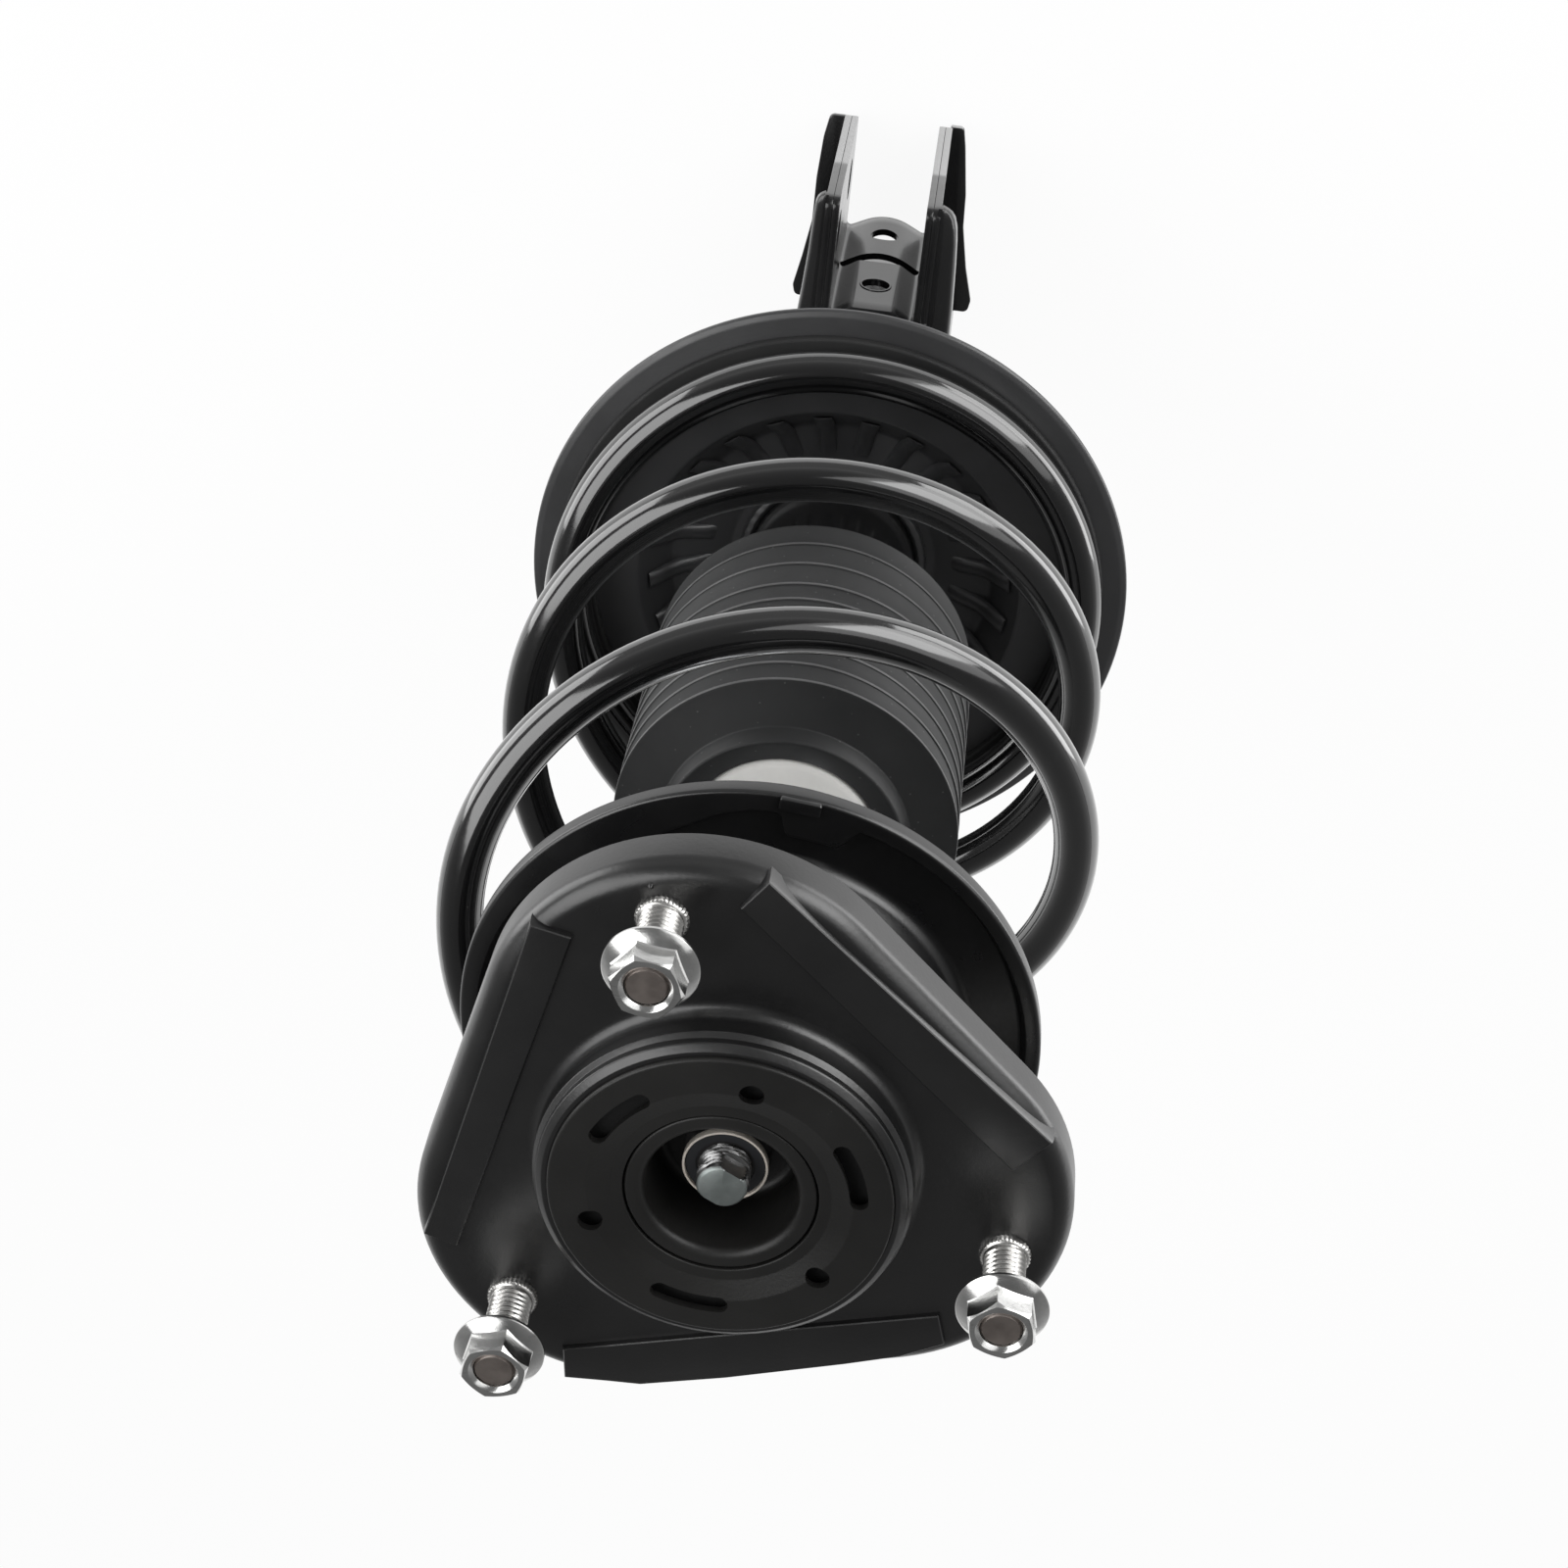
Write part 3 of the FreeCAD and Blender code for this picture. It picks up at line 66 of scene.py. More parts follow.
def foot_of(node):
    """The node's lowest level in millimetres."""
    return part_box(node)[0].z / MM


def top_of(node):
    """The node's highest level in millimetres."""
    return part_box(node)[1].z / MM


# Materials

DUST_TONE = (0.3, 0.3, 0.29)
MARK_TONE = (0.35, 0.34, 0.33)
SPECK_TONE = (0.5, 0.5, 0.49)
COAT_GLOSS = 0.8


def feed(socket, item):
    """Gives an input socket a value, or links another node's output to it."""
    if isinstance(item, bpy.types.NodeSocket):
        socket.id_data.links.new(item, socket)
    else:
        socket.default_value = (*item, 1.0) if socket.type == "RGBA" else item


def add_node(tree, kind, sockets=None, **settings):
    """A shader node with its settings and what its sockets are fed with."""
    node = tree.nodes.new("ShaderNode" + kind)
    for key, value in settings.items():
        setattr(node, key, value)
    for socket, item in (sockets or {}).items():
        feed(node.inputs[socket], item)
    return node


def new_material(name, base, rough, metallic=0.0, specular=0.5, coat=0.0):
    """A material with a principled shader and the object's own coordinates."""
    mat = bpy.data.materials.new(name)
    mat.use_nodes = True
    tree = mat.node_tree
    shader = tree.nodes["Principled BSDF"]
    values = {
        "Base Color": base, "Roughness": rough, "Metallic": metallic,
        "Specular IOR Level": specular, "Coat Weight": coat, "Coat Roughness": COAT_GLOSS * rough,
    }
    for socket, value in values.items():
        feed(shader.inputs[socket], value)
    return mat, tree, shader, add_node(tree, "TexCoord").outputs["Object"]


def noise(tree, coords, scale, detail=3.0):
    sockets = {"Vector": coords, "Scale": scale, "Detail": detail, "Roughness": 0.55}
    return add_node(tree, "TexNoise", sockets).outputs["Fac"]


def ramp(tree, value, stops):
    """Colours at given values; a stop is a value and a grey or an rgb colour."""
    node = add_node(tree, "ValToRGB", {"Fac": value})
    while len(node.color_ramp.elements) < len(stops):
        node.color_ramp.elements.new(0.5)
    for element, (at, colour) in zip(node.color_ramp.elements, stops):
        element.position = at
        if not isinstance(colour, tuple):
            colour = (colour, colour, colour)
        element.color = (*colour, 1.0)
    return node.outputs["Color"]


def specks(tree, coords, scale, size):
    """1 in small scattered spots, 0 elsewhere."""
    cells = add_node(tree, "TexVoronoi", {"Vector": coords, "Scale": scale})
    return ramp(tree, cells.outputs["Distance"], [(size * 0.6, 1.0), (size, 0.0)])


def scratches(tree, coords, scale):
    """1 in fine straight scratches, 0 elsewhere."""
    sockets = {"Vector": coords, "Rotation": (0.6, 0.35, 0.9), "Scale": (1.0, 14.0, 14.0)}
    turned = add_node(tree, "Mapping", sockets).outputs["Vector"]
    stops = [(0.488, 0.0), (0.5, 1.0), (0.512, 0.0)]
    return ramp(tree, noise(tree, turned, scale, 2.0), stops)


def blend_colour(tree, fac, low, high):
    """From one colour to another; each is a socket or an rgb colour."""
    return add_node(tree, "Mix", {0: fac, 6: low, 7: high}, data_type="RGBA").outputs[2]


def maths(tree, operation, *terms):
    """A Math node; each term is a socket or a number."""
    return add_node(tree, "Math", dict(enumerate(terms)), operation=operation).outputs[0]


def add_bump(tree, shader, height, strength, distance=0.0002):
    sockets = {"Height": height, "Strength": strength, "Distance": distance}
    feed(shader.inputs["Normal"], add_node(tree, "Bump", sockets).outputs["Normal"])


def add_sheen(tree, shader, coords, scale, rough):
    """Roughness that drifts between two values."""
    tone = ramp(tree, noise(tree, coords, scale, 4.0), [(0.3, rough[0]), (0.7, rough[1])])
    feed(shader.inputs["Roughness"], tone)


def paint(
    name, dark, light, rough, peel=0.1, peel_scale=900.0, specular=0.5, coat=0.0, dust=0.06
):
    """Black coat on steel: cloudy tone, orange peel and a few rare dust specks."""
    mat, tree, shader, coords = new_material(name, dark, rough[0], specular=specular, coat=coat)
    tone = ramp(tree, noise(tree, coords, 28.0, 5.0), [(0.32, dark), (0.68, light)])
    sparse = ramp(tree, noise(tree, coords, 55.0, 1.0), [(0.56, 0.0), (0.7, 1.0)])
    spots = maths(tree, "MULTIPLY", specks(tree, coords, 560.0, 0.09), sparse)
    spots = maths(tree, "MULTIPLY", spots, dust)
    feed(shader.inputs["Base Color"], blend_colour(tree, spots, tone, DUST_TONE))
    add_sheen(tree, shader, coords, 75.0, rough)
    add_bump(tree, shader, noise(tree, coords, peel_scale, 2.0), peel)
    return mat


def metal(name, low, high, rough, grain=0.1, grain_scale=1600.0):
    """Plated or ground steel with a slightly blotchy tone and fine marks."""
    mat, tree, shader, coords = new_material(name, low, rough[0], metallic=1.0)
    tone = ramp(tree, noise(tree, coords, 160.0, 4.0), [(0.3, low), (0.7, high)])
    marks = maths(tree, "MULTIPLY", scratches(tree, coords, 60.0), 0.35)
    feed(shader.inputs["Base Color"], blend_colour(tree, marks, tone, MARK_TONE))
    add_sheen(tree, shader, coords, 240.0, rough)
    add_bump(tree, shader, noise(tree, coords, grain_scale, 2.0), grain, 0.0001)
    return mat


def soft(name, low, high, rough, grain=0.3, grain_scale=700.0, specular=0.4, speck=0.0):
    """Rubber, plastic or foam."""
    mat, tree, shader, coords = new_material(name, low, rough[0], specular=specular)
    tone = ramp(tree, noise(tree, coords, 45.0, 5.0), [(0.3, low), (0.7, high)])
    if speck:
        spots = maths(tree, "MULTIPLY", specks(tree, coords, 330.0, 0.1), speck)
        tone = blend_colour(tree, spots, tone, SPECK_TONE)
    feed(shader.inputs["Base Color"], tone)
    add_sheen(tree, shader, coords, 110.0, rough)
    add_bump(tree, shader, noise(tree, coords, grain_scale, 3.0), grain)
    return mat


def edge_painted_reflection(name):
    """Sheet edges of the bracket: thin coat over bare steel, with painted reflection that makes
    them paler in bands towards their low end.
    """
    mat, tree, shader, coords = new_material(name, (0.2, 0.2, 0.2), 0.32, metallic=0.6)
    split = add_node(tree, "SeparateXYZ", {0: coords})
    height = maths(tree, "MULTIPLY", split.outputs["Z"], -10.0)
    drift = maths(tree, "MULTIPLY", noise(tree, coords, 260.0, 2.0), 0.03)
    level = maths(tree, "ADD", maths(tree, "ADD", height, -3.85), drift)
    # Painted reflection: pale below about -0.434 m, mid grey up to about -0.404 m, dark above.
    tone = ramp(tree, level, [(0.17, 0.02), (0.2, 0.16), (0.475, 0.19), (0.5, 0.46)])
    feed(shader.inputs["Base Color"], tone)
    add_sheen(tree, shader, coords, 240.0, (0.28, 0.4))
    add_bump(tree, shader, noise(tree, coords, 1400.0, 2.0), 0.2)
    return mat


# For each kind, by slot: two tones, a range of roughness, and what differs from the kind's own.
SLOT_LOOKS = {
    paint: {
        "plate_coat": (
            (0.004, 0.004, 0.0042), (0.008, 0.008, 0.0082), (0.27, 0.35), 0.16, 1000.0, 1.0
        ),
        "disc_coat": ((0.008, 0.0078, 0.0075), (0.013, 0.0127, 0.012), (0.36, 0.46), 0.2, 1300.0),
        "seat_coat": (
            (0.005, 0.005, 0.0053), (0.008, 0.008, 0.0084), (0.26, 0.33), 0.1, 900.0, 1.0
        ),
        "pan_coat": (
            (0.026, 0.0262, 0.0275), (0.036, 0.0362, 0.038), (0.34, 0.42), 0.1, 900.0, 1.0
        ),
        "spring_coat": (
            (0.003, 0.003, 0.0032), (0.005, 0.005, 0.0052), (0.1, 0.15), 0.04, 420.0, 1.0, 1.0,
            0.25,
        ),
        "tube_coat": (
            (0.006, 0.006, 0.0063), (0.01, 0.01, 0.0103), (0.18, 0.24), 0.05, 500.0, 0.5, 1.0
        ),
        "bracket_coat": (
            (0.008, 0.008, 0.0083), (0.013, 0.013, 0.0133), (0.2, 0.26), 0.05, 500.0, 0.5, 0.5
        ),
        "phosphate_steel": (
            (0.012, 0.012, 0.0125), (0.022, 0.021, 0.021), (0.4, 0.5), 0.3, 1500.0
        ),
    },
    metal: {
        "stud_zinc": ((0.60, 0.59, 0.57), (0.78, 0.77, 0.75), (0.2, 0.32)),
        "zinc_steel": ((0.72, 0.72, 0.71), (0.86, 0.86, 0.85), (0.13, 0.24)),
        "bearing_steel": ((0.55, 0.56, 0.57), (0.66, 0.67, 0.68), (0.14, 0.22)),
        "sintered_steel": ((0.24, 0.24, 0.25), (0.36, 0.36, 0.37), (0.42, 0.55), 0.4, 1400.0),
        "rod_chrome": ((0.72, 0.73, 0.74), (0.8, 0.81, 0.82), (0.05, 0.09), 0.02),
        "bush_bronze": ((0.55, 0.38, 0.2), (0.66, 0.48, 0.28), (0.28, 0.4)),
    },
    soft: {
        "rubber": ((0.011, 0.011, 0.0115), (0.019, 0.019, 0.019), (0.6, 0.75)),
        "boot_rubber": (
            (0.017, 0.0175, 0.018), (0.024, 0.0245, 0.025), (0.46, 0.55), 0.12, 1100.0, 0.5, 0.1
        ),
        "stop_foam": ((0.84, 0.83, 0.80), (0.93, 0.92, 0.89), (0.7, 0.85), 0.5, 600.0),
        "nylon": ((0.02, 0.021, 0.024), (0.032, 0.033, 0.036), (0.35, 0.45), 0.1, 900.0),
        "bearing_plastic": ((0.09, 0.09, 0.09), (0.13, 0.13, 0.13), (0.4, 0.5), 0.15, 900.0),
    },
}
LOOKS = {
    slot: kind(slot, *values)
    for kind, slots in SLOT_LOOKS.items()
    for slot, values in slots.items()
}


SHARP_ANGLE = 32


def shade_smooth(mesh, angle=SHARP_ANGLE):
    """Smooth shading with sharp edges from an angle in degrees."""
    mesh.polygons.foreach_set("use_smooth", [True] * len(mesh.polygons))
    mesh.set_sharp_from_angle(angle=math.radians(angle))


for node_name, slot_name in SLOT_OF.items():
    node = nodes[node_name]
    node.data.materials.clear()
    node.data.materials.append(LOOKS[slot_name])
    shade_smooth(node.data)


# Making meshes


def new_object(name, data):
    """An object in the scene."""
    item = bpy.data.objects.new(name, data)
    scene.collection.objects.link(item)
    return item


def mesh_of(name, part):
    """A mesh in metres from vertices in millimetres and faces."""
    mesh = bpy.data.meshes.new(name)
    mesh.from_pydata([Vector(v) * MM for v in part[0]], [], part[1])
    bm = bmesh.new()
    bm.from_mesh(mesh)
    bmesh.ops.remove_doubles(bm, verts=bm.verts, dist=1e-6)
    bmesh.ops.dissolve_degenerate(bm, edges=bm.edges, dist=1e-6)
    bmesh.ops.recalc_face_normals(bm, faces=bm.faces)
    bm.to_mesh(mesh)
    bm.free()
    return mesh


def add_piece(node, part, angle=SHARP_ANGLE, name=None, stands_for=True, look=None):
    """A finished piece in the place of a node."""
    name = name or node + "_skin"
    mesh = mesh_of(name, part)
    shade_smooth(mesh, angle)
    piece = new_object(name, mesh)
    mesh.materials.append(look or LOOKS[SLOT_OF[node]])
    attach(piece, BODY_OF[node])
    if stands_for:
        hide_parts(node)
    return piece


def add_look(piece, look, chosen):
    """A further material on the faces chosen by their centre in millimetres and their normal."""
    piece.data.materials.append(look)
    for face in piece.data.polygons:
        if chosen(face.center / MM, face.normal):
            face.material_index = len(piece.data.materials) - 1


def worked(part, *steps):
    """A part after Blender's modifiers; a step is the kind and its settings, lengths in metres."""
    base = new_object("blank", mesh_of("blank", part))
    spare = [base]
    for kind, settings in steps:
        modifier = base.modifiers.new(kind, kind)
        for key, value in settings.items():
            if key == "cutters":
                spare.append(new_object("cutter", mesh_of("cutter", joined(*value))))
                modifier.operation = "DIFFERENCE"
                modifier.solver = "EXACT"
                modifier.object = spare[-1]
            else:
                setattr(modifier, key, value)
    bpy.context.view_layer.update()
    result = base.evaluated_get(bpy.context.evaluated_depsgraph_get())
    mesh = bpy.data.meshes.new_from_object(result)
    verts = [tuple(v.co / MM) for v in mesh.vertices]
    faces = [tuple(face.vertices) for face in mesh.polygons]
    for item in spare:
        bpy.data.objects.remove(item)
    bpy.data.meshes.remove(mesh)
    return verts, faces


def bevel(width, segments=2):
    settings = {"limit_method": "ANGLE", "angle_limit": math.radians(40)}
    return "BEVEL", {"width": width * MM, "segments": segments, **settings}


def rounded(points, steps=5, loop=True):
    """The outline with its corners rounded; a point is x, y and an optional radius."""
    out = []
    count = len(points)
    for i, point in enumerate(points):
        here = Vector(point[:2])
        radius = point[2] if len(point) > 2 else 0.0
        if radius <= 0 or (not loop and i in (0, count - 1)):
            out.append((here.x, here.y))
            continue
        to_last = Vector(points[i - 1][:2]) - here
        to_next = Vector(points[(i + 1) % count][:2]) - here
        a = to_last.normalized()
        b = to_next.normalized()
        half = a.angle(b) / 2
        reach = min(radius / math.tan(half), to_last.length * 0.499, to_next.length * 0.499)
        radius = reach * math.tan(half)
        centre = here + (a + b).normalized() * (radius / math.sin(half))
        start = here + a * reach - centre
        end = here + b * reach - centre
        sweep = start.angle_signed(end)
        for k in range(steps + 1):
            turned = Matrix.Rotation(-sweep * k / steps, 2) @ start
            out.append((centre.x + turned.x, centre.y + turned.y))
    return out


def grid_faces(rows, columns, closed=True, loop=False):
    """Quads between rows of points; closed joins a row's ends, loop the last row to the first."""
    faces = []
    for i in range(rows if loop else rows - 1):
        low = i * columns
        high = (i + 1) % rows * columns
        for k in range(columns if closed else columns - 1):
            n = (k + 1) % columns
            faces.append((low + k, low + n, high + n, high + k))
    return faces


def lathe(profile, count=160, loop=True, shape=None):
    """Vertices and faces of a profile of radius and height pairs turned about Z."""
    verts = []
    for row, (radius, height) in enumerate(profile):
        for k in range(count):
            turn = TAU * k / count
            r, z = shape(row, turn, radius, height) if shape else (radius, height)
            verts.append((r * math.cos(turn), r * math.sin(turn), z))
    return verts, grid_faces(len(profile), count, loop=loop)


def swept(sections):
    """A closed skin over a row of closed sections with the same number of points."""
    size = len(sections[0])
    verts = [point for section in sections for point in section]
    ends = [tuple(range(size)), tuple(range(len(verts) - size, len(verts)))]
    return verts, grid_faces(len(sections), size) + ends


def joined(*parts):
    """Several lists of vertices and faces as one."""
    verts = []
    faces = []
    for more_verts, more_faces in parts:
        base = len(verts)
        verts.extend(more_verts)
        faces.extend(tuple(i + base for i in face) for face in more_faces)
    return verts, faces


def moved(part, x=0.0, y=0.0, z=0.0, turn=0.0):
    cosine = math.cos(turn)
    sine = math.sin(turn)
    verts = [
        (vx * cosine - vy * sine + x, vx * sine + vy * cosine + y, vz + z)
        for vx, vy, vz in part[0]
    ]
    return verts, part[1]


def mirrored(part):
    """The part's image across the YZ plane."""
    return [(-x, y, z) for x, y, z in part[0]], [face[::-1] for face in part[1]]


def prism(outline, low, high):
    """A closed prism on an outline in X and Y."""
    return swept([[(x, y, level) for x, y in outline] for level in (low, high)])


def polar(radius, degrees):
    turn = math.radians(degrees)
    return radius * math.cos(turn), radius * math.sin(turn)


def between(a, b, share):
    """The point at that share of the way from a to b."""
    return tuple(p + (q - p) * share for p, q in zip(a, b))


def circle(x, y, radius, count=28):
    turns = [TAU * k / count for k in range(count)]
    return [(x + radius * math.cos(turn), y + radius * math.sin(turn)) for turn in turns]


def smooth_table(rows, at):
    """Reads a table of (position, value, ...) rows smoothly; the positions rise."""
    keys, *columns = zip(*rows)
    at = min(max(at, keys[0]), keys[-1])
    i = next(k for k in range(len(keys) - 1) if at <= keys[k + 1])
    step = keys[i + 1] - keys[i]
    u = (at - keys[i]) / step
    out = []
    for values in columns:
        rises = [
            (values[k + 1] - values[k]) / (keys[k + 1] - keys[k]) for k in range(len(keys) - 1)
        ]
        slopes = [0.0]
        for before, after in zip(rises, rises[1:]):
            slopes.append(0.0 if before * after <= 0 else 2 * before * after / (before + after))
        slopes.append(0.0)
        out.append(
            values[i] * (1 + 2 * u) * (1 - u) ** 2
            + values[i + 1] * u * u * (3 - 2 * u)
            + slopes[i] * step * u * (1 - u) ** 2
            + slopes[i + 1] * step * u * u * (u - 1)
        )
    return out


# Top mount

STUD_ANGLES = (-73.5, 46.5, 166.5)
STUD_CIRCLE = 66.0
CORNER_REACH = 30.7
CORNER_RADIUS = 48.2
PLATE_SHEET = 3.0
PLATE_SKIRT = 13.0
PLATE_ROLL = 6.6
PLATE_BORDER = 10.0
NECK_FOOT = 47.4
NECK_BORE = 39.0
BURR_REACH = 74.3
BURR_ANGLE = -73.0


def triangle_outline(inset):
    """The plate's rounded triangle, drawn in by inset, always with the same number of points."""
    radius = CORNER_RADIUS - inset
    points = []
    for centre in STUD_ANGLES:
        cx, cy = polar(CORNER_REACH, centre)
        arc = [polar(radius, centre - 60.0 + 3.0 * k) for k in range(41)]
        points += [(cx + x, cy + y) for x, y in arc]
        ahead = polar(CORNER_REACH, centre + 120.0)
        out_x, out_y = polar(radius, centre + 60.0)
        side = [between((cx, cy), ahead, k / 16) for k in range(1, 16)]
        points += [(x + out_x, y + out_y) for x, y in side]
    return points


# Raised pads: the direction that the plate's side faces, and the outline of the pad's top as
# points along the side and out from the axis.
PADS = (
    (-13.5, ((-45.5, 58.4), (45.9, 57.1), (46.4, 49.4), (-45.7, 49.5))),
    (106.5, ((-50.3, 57.5), (-40.9, 59.6), (-33.1, 61.5), (-12.7, 61.6), (15.6, 60.3),
             (28.8, 59.3), (39.4, 56.6), (39.5, 48.3), (-48.7, 49.1))),
    (-133.5, ((50.7, 57.6), (49.4, 48.7), (-38.6, 50.2), (-37.7, 61.6))),
)
PAD_RISE = 1.4
PAD_FOOT = -4.0
PAD_RUN = 0.35


def grown(outline, amount):
    """The outline with its sides moved out; it may run either way round."""
    count = len(outline)
    area = sum(a[0] * b[1] - b[0] * a[1] for a, b in zip(outline, outline[1:] + outline[:1]))
    side = 1 if area > 0 else -1
    out = []
    for i in range(count):
        here = Vector(outline[i])
        before = (here - Vector(outline[i - 1])).normalized()
        after = (Vector(outline[(i + 1) % count]) - here).normalized()
        normal = Vector((before.y + after.y, -before.x - after.x)).normalized() * side
        lean = max(0.3, normal.dot(Vector((before.y, -before.x)) * side))
        out.append(tuple(here + normal * amount / lean))
    return out


def make_pad(facing, outline):
    """One raised pad with a level top, a soft upper edge and steep walls down to the plate."""
    levels = (
        (PAD_RUN + 0.15, PAD_FOOT), (PAD_RUN, 0.1), (0.12, PAD_RISE - 0.3),
        (-0.12, PAD_RISE - 0.06), (-0.4, PAD_RISE),
    )
    sections = [[(out, along, z) for along, out in grown(outline, grow)] for grow, z in levels]
    return moved(swept(sections), turn=math.radians(facing))


def make_mount_plate():
    """The plate, its rolled edge and drawn neck as one skin, and the three pads."""
    neck = rounded(
        [
            (NECK_FOOT, 0.0), (41.3, 0.0, 5.6), (41.2, 6.4, 0.3), (42.3, 7.4, 0.6),
            (41.0, 8.7, 0.3), (40.9, 10.3, 0.7), (39.3, 11.5, 0.5), (38.1, 11.4, 0.3),
            (38.0, 10.7, 0.1), (NECK_BORE, 10.6, 0.1), (NECK_BORE, -PLATE_SHEET),
        ],
        6,
        loop=False,
    )
    edge = rounded(
        [
            (PLATE_BORDER, 0.0), (0.1, 0.0, PLATE_ROLL), (0.0, -PLATE_SKIRT, 0.5),
            (PLATE_SHEET - 0.1, -PLATE_SKIRT, 0.5),
            (PLATE_SHEET, -PLATE_SHEET, PLATE_ROLL - PLATE_SHEET), (PLATE_BORDER, -PLATE_SHEET),
        ],
        9,
        loop=False,
    )
    rows = [("ring", radius, height) for radius, height in neck[::-1]]
    rows += [("flat", share, 0.0) for share in (0.12, 0.3, 0.55, 0.8)]
    rows += [("edge", inset, height) for inset, height in edge]
    rows += [("flat", share, -PLATE_SHEET) for share in (0.7, 0.35)]
    base = triangle_outline(PLATE_BORDER)
    angles = [math.atan2(y, x) for x, y in base]
    verts = []
    for kind, value, height in rows:
        if kind == "ring":
            line = [(value * math.cos(a), value * math.sin(a)) for a in angles]
        elif kind == "edge":
            line = triangle_outline(value)
        else:
            inner = NECK_BORE if height < 0 else NECK_FOOT
            line = [
                (
                    inner * math.cos(a) * (1 - value) + x * value,
                    inner * math.sin(a) * (1 - value) + y * value,
                )
                for a, (x, y) in zip(angles, base)
            ]
        verts += [(x, y, height) for x, y in line]
    faces = grid_faces(len(rows), len(base), loop=True)
    burr = lathe([(0.0, 0.9), (0.35, 0.7), (0.6, 0.2), (0.8, -0.5), (0.0, -0.6)], 12, loop=False)
    parts = [(verts, faces), moved(burr, *polar(BURR_REACH, BURR_ANGLE))]
    parts += [make_pad(*pad) for pad in PADS]
    add_piece("mount_plate", joined(*parts), 28)


SLOT_ANGLES = (-38.6, 81.4, -158.6)
SLOT_HALF = 13.0
SLOT_CIRCLE = 30.5
SLOT_RADIUS = 2.05
VENT_CIRCLE = 29.9
VENT_RADIUS = 2.75


def curved_slot(middle):
    """Outline of a slot that follows a circle and has round ends."""
    turns = [SLOT_HALF * (k - 12) / 12 for k in range(25)]
    line = [polar(SLOT_CIRCLE + SLOT_RADIUS, middle + turn) for turn in turns]
    for side in (1, -1):
        cx, cy = polar(SLOT_CIRCLE, middle + side * SLOT_HALF)
        start = middle + side * SLOT_HALF + (0 if side > 0 else 180)
        for k in range(1, 12):
            x, y = polar(SLOT_RADIUS, start + 15 * k)
            line.append((cx + x, cy + y))
        if side > 0:
            line += [polar(SLOT_CIRCLE - SLOT_RADIUS, middle - turn) for turn in turns]
    return line


def make_cover_disc():
    """The pressed disc with its slots and vents cut through."""
    profile = rounded(
        [
            (21.6, 8.9, 0.2), (24.2, 8.9, 0.8), (28.6, 10.7, 1.0), (36.2, 10.7, 0.6),
            (36.2, 9.0, 0.3), (38.9, 9.0, 0.2), (38.9, 10.5, 0.2), (38.2, 10.6, 0.2),
            (38.0, 12.5, 0.7), (29.2, 12.5, 1.6), (24.4, 10.7, 1.2), (21.6, 10.7, 0.35),
        ],
        6,
    )
    below, above = 6.0, 16.0
    cutters = []
    for angle in SLOT_ANGLES:
        vent = circle(*polar(VENT_CIRCLE, angle + 60.0), VENT_RADIUS)
        cutters += [prism(curved_slot(angle), below, above), prism(vent, below, above)]
    disc = worked(lathe(profile, 180), ("BOOLEAN", {"cutters": cutters}))
    add_piece("cover_disc", disc, 28)


def make_rod_cup():
    profile = rounded(
        [
            (6.15, -11.5, 0.2), (18.9, -11.5, 2.6), (18.9, 8.4, 0.5), (21.2, 8.4, 0.5),
            (21.2, 10.4, 0.6), (16.9, 10.4, 2.0), (16.9, -9.5, 2.4), (6.15, -9.5, 0.2),
        ],
        8,
    )
    add_piece("rod_cup", lathe(profile, 144))


def hexagon_turned(profile, flat):
    """A turned shape whose profile of radius and height depends on the hexagon's reach."""

    def shape(row, turn, radius, height):
        off_flat = (turn + math.pi / 6) % (math.pi / 3) - math.pi / 6
        return profile(flat / math.cos(off_flat))[row]

    return lathe(profile(flat), 120, shape=shape)


def thread_dip(turn, height, pitch, depth):
    """How far a thread's groove cuts in."""
    phase = (height / pitch - turn / TAU) % 1.0
    return depth * min(1.0, 1.35 * (1 - abs(2 * phase - 1)))


STUD_TOP = 24.55
STUD_RADIUS = 4.95
STUD_PITCH = 1.5
STUD_GROOVE = 0.62
STUD_TEETH = 36


def make_studs():
    """Three threaded studs with a knurl in the plate and a flat head under it."""
    head = [(0.0, -6.5), (6.7, -6.5), (7.0, -6.2), (7.0, -3.3), (6.7, -3.0), (5.9, -3.0)]
    rows = head + [(5.9, 0.9), (5.45, 1.5), (STUD_RADIUS, 1.7)]
    knurl = range(len(head) - 1, len(head) + 2)
    first = len(rows)
    rows += [(STUD_RADIUS, 1.9 + 0.25 * k) for k in range(88)]
    last = len(rows)
    rows += [(4.6, STUD_TOP - 0.65), (4.25, STUD_TOP - 0.2), (4.1, STUD_TOP), (0.0, STUD_TOP)]

    def shape(row, turn, radius, height):
        if first <= row < last:
            fade = min(1.0, max(0.0, (height - 1.8) / 0.8))
            return radius - thread_dip(turn, height, STUD_PITCH, STUD_GROOVE) * fade, height
        if row in knurl:
            return radius - 0.28 * abs(2 * ((turn * STUD_TEETH / TAU) % 1.0) - 1), height
        return radius, height

    stud = lathe(rows, 72, loop=False, shape=shape)
    parts = [moved(stud, *polar(STUD_CIRCLE, a)) for a in STUD_ANGLES]
    studs = add_piece("mounting_studs", joined(*parts), 40, "studs_threaded")
    dull = metal("stud_end", (0.30, 0.26, 0.24), (0.42, 0.37, 0.34), (0.4, 0.55), 0.3)
    add_look(studs, dull, lambda at, normal: at.z > STUD_TOP - 0.7)


NUT_TURNS = (22.6, -12.5, 13.5)
NUT_LOW = 17.1
NUT_TOP = 25.38
NUT_FLAT = 7.0
NUT_FLANGE = 10.3
NUT_BORE = 4.78
NUT_CHAMFER_START = 6.9
NUT_CONE_RISE = 0.42


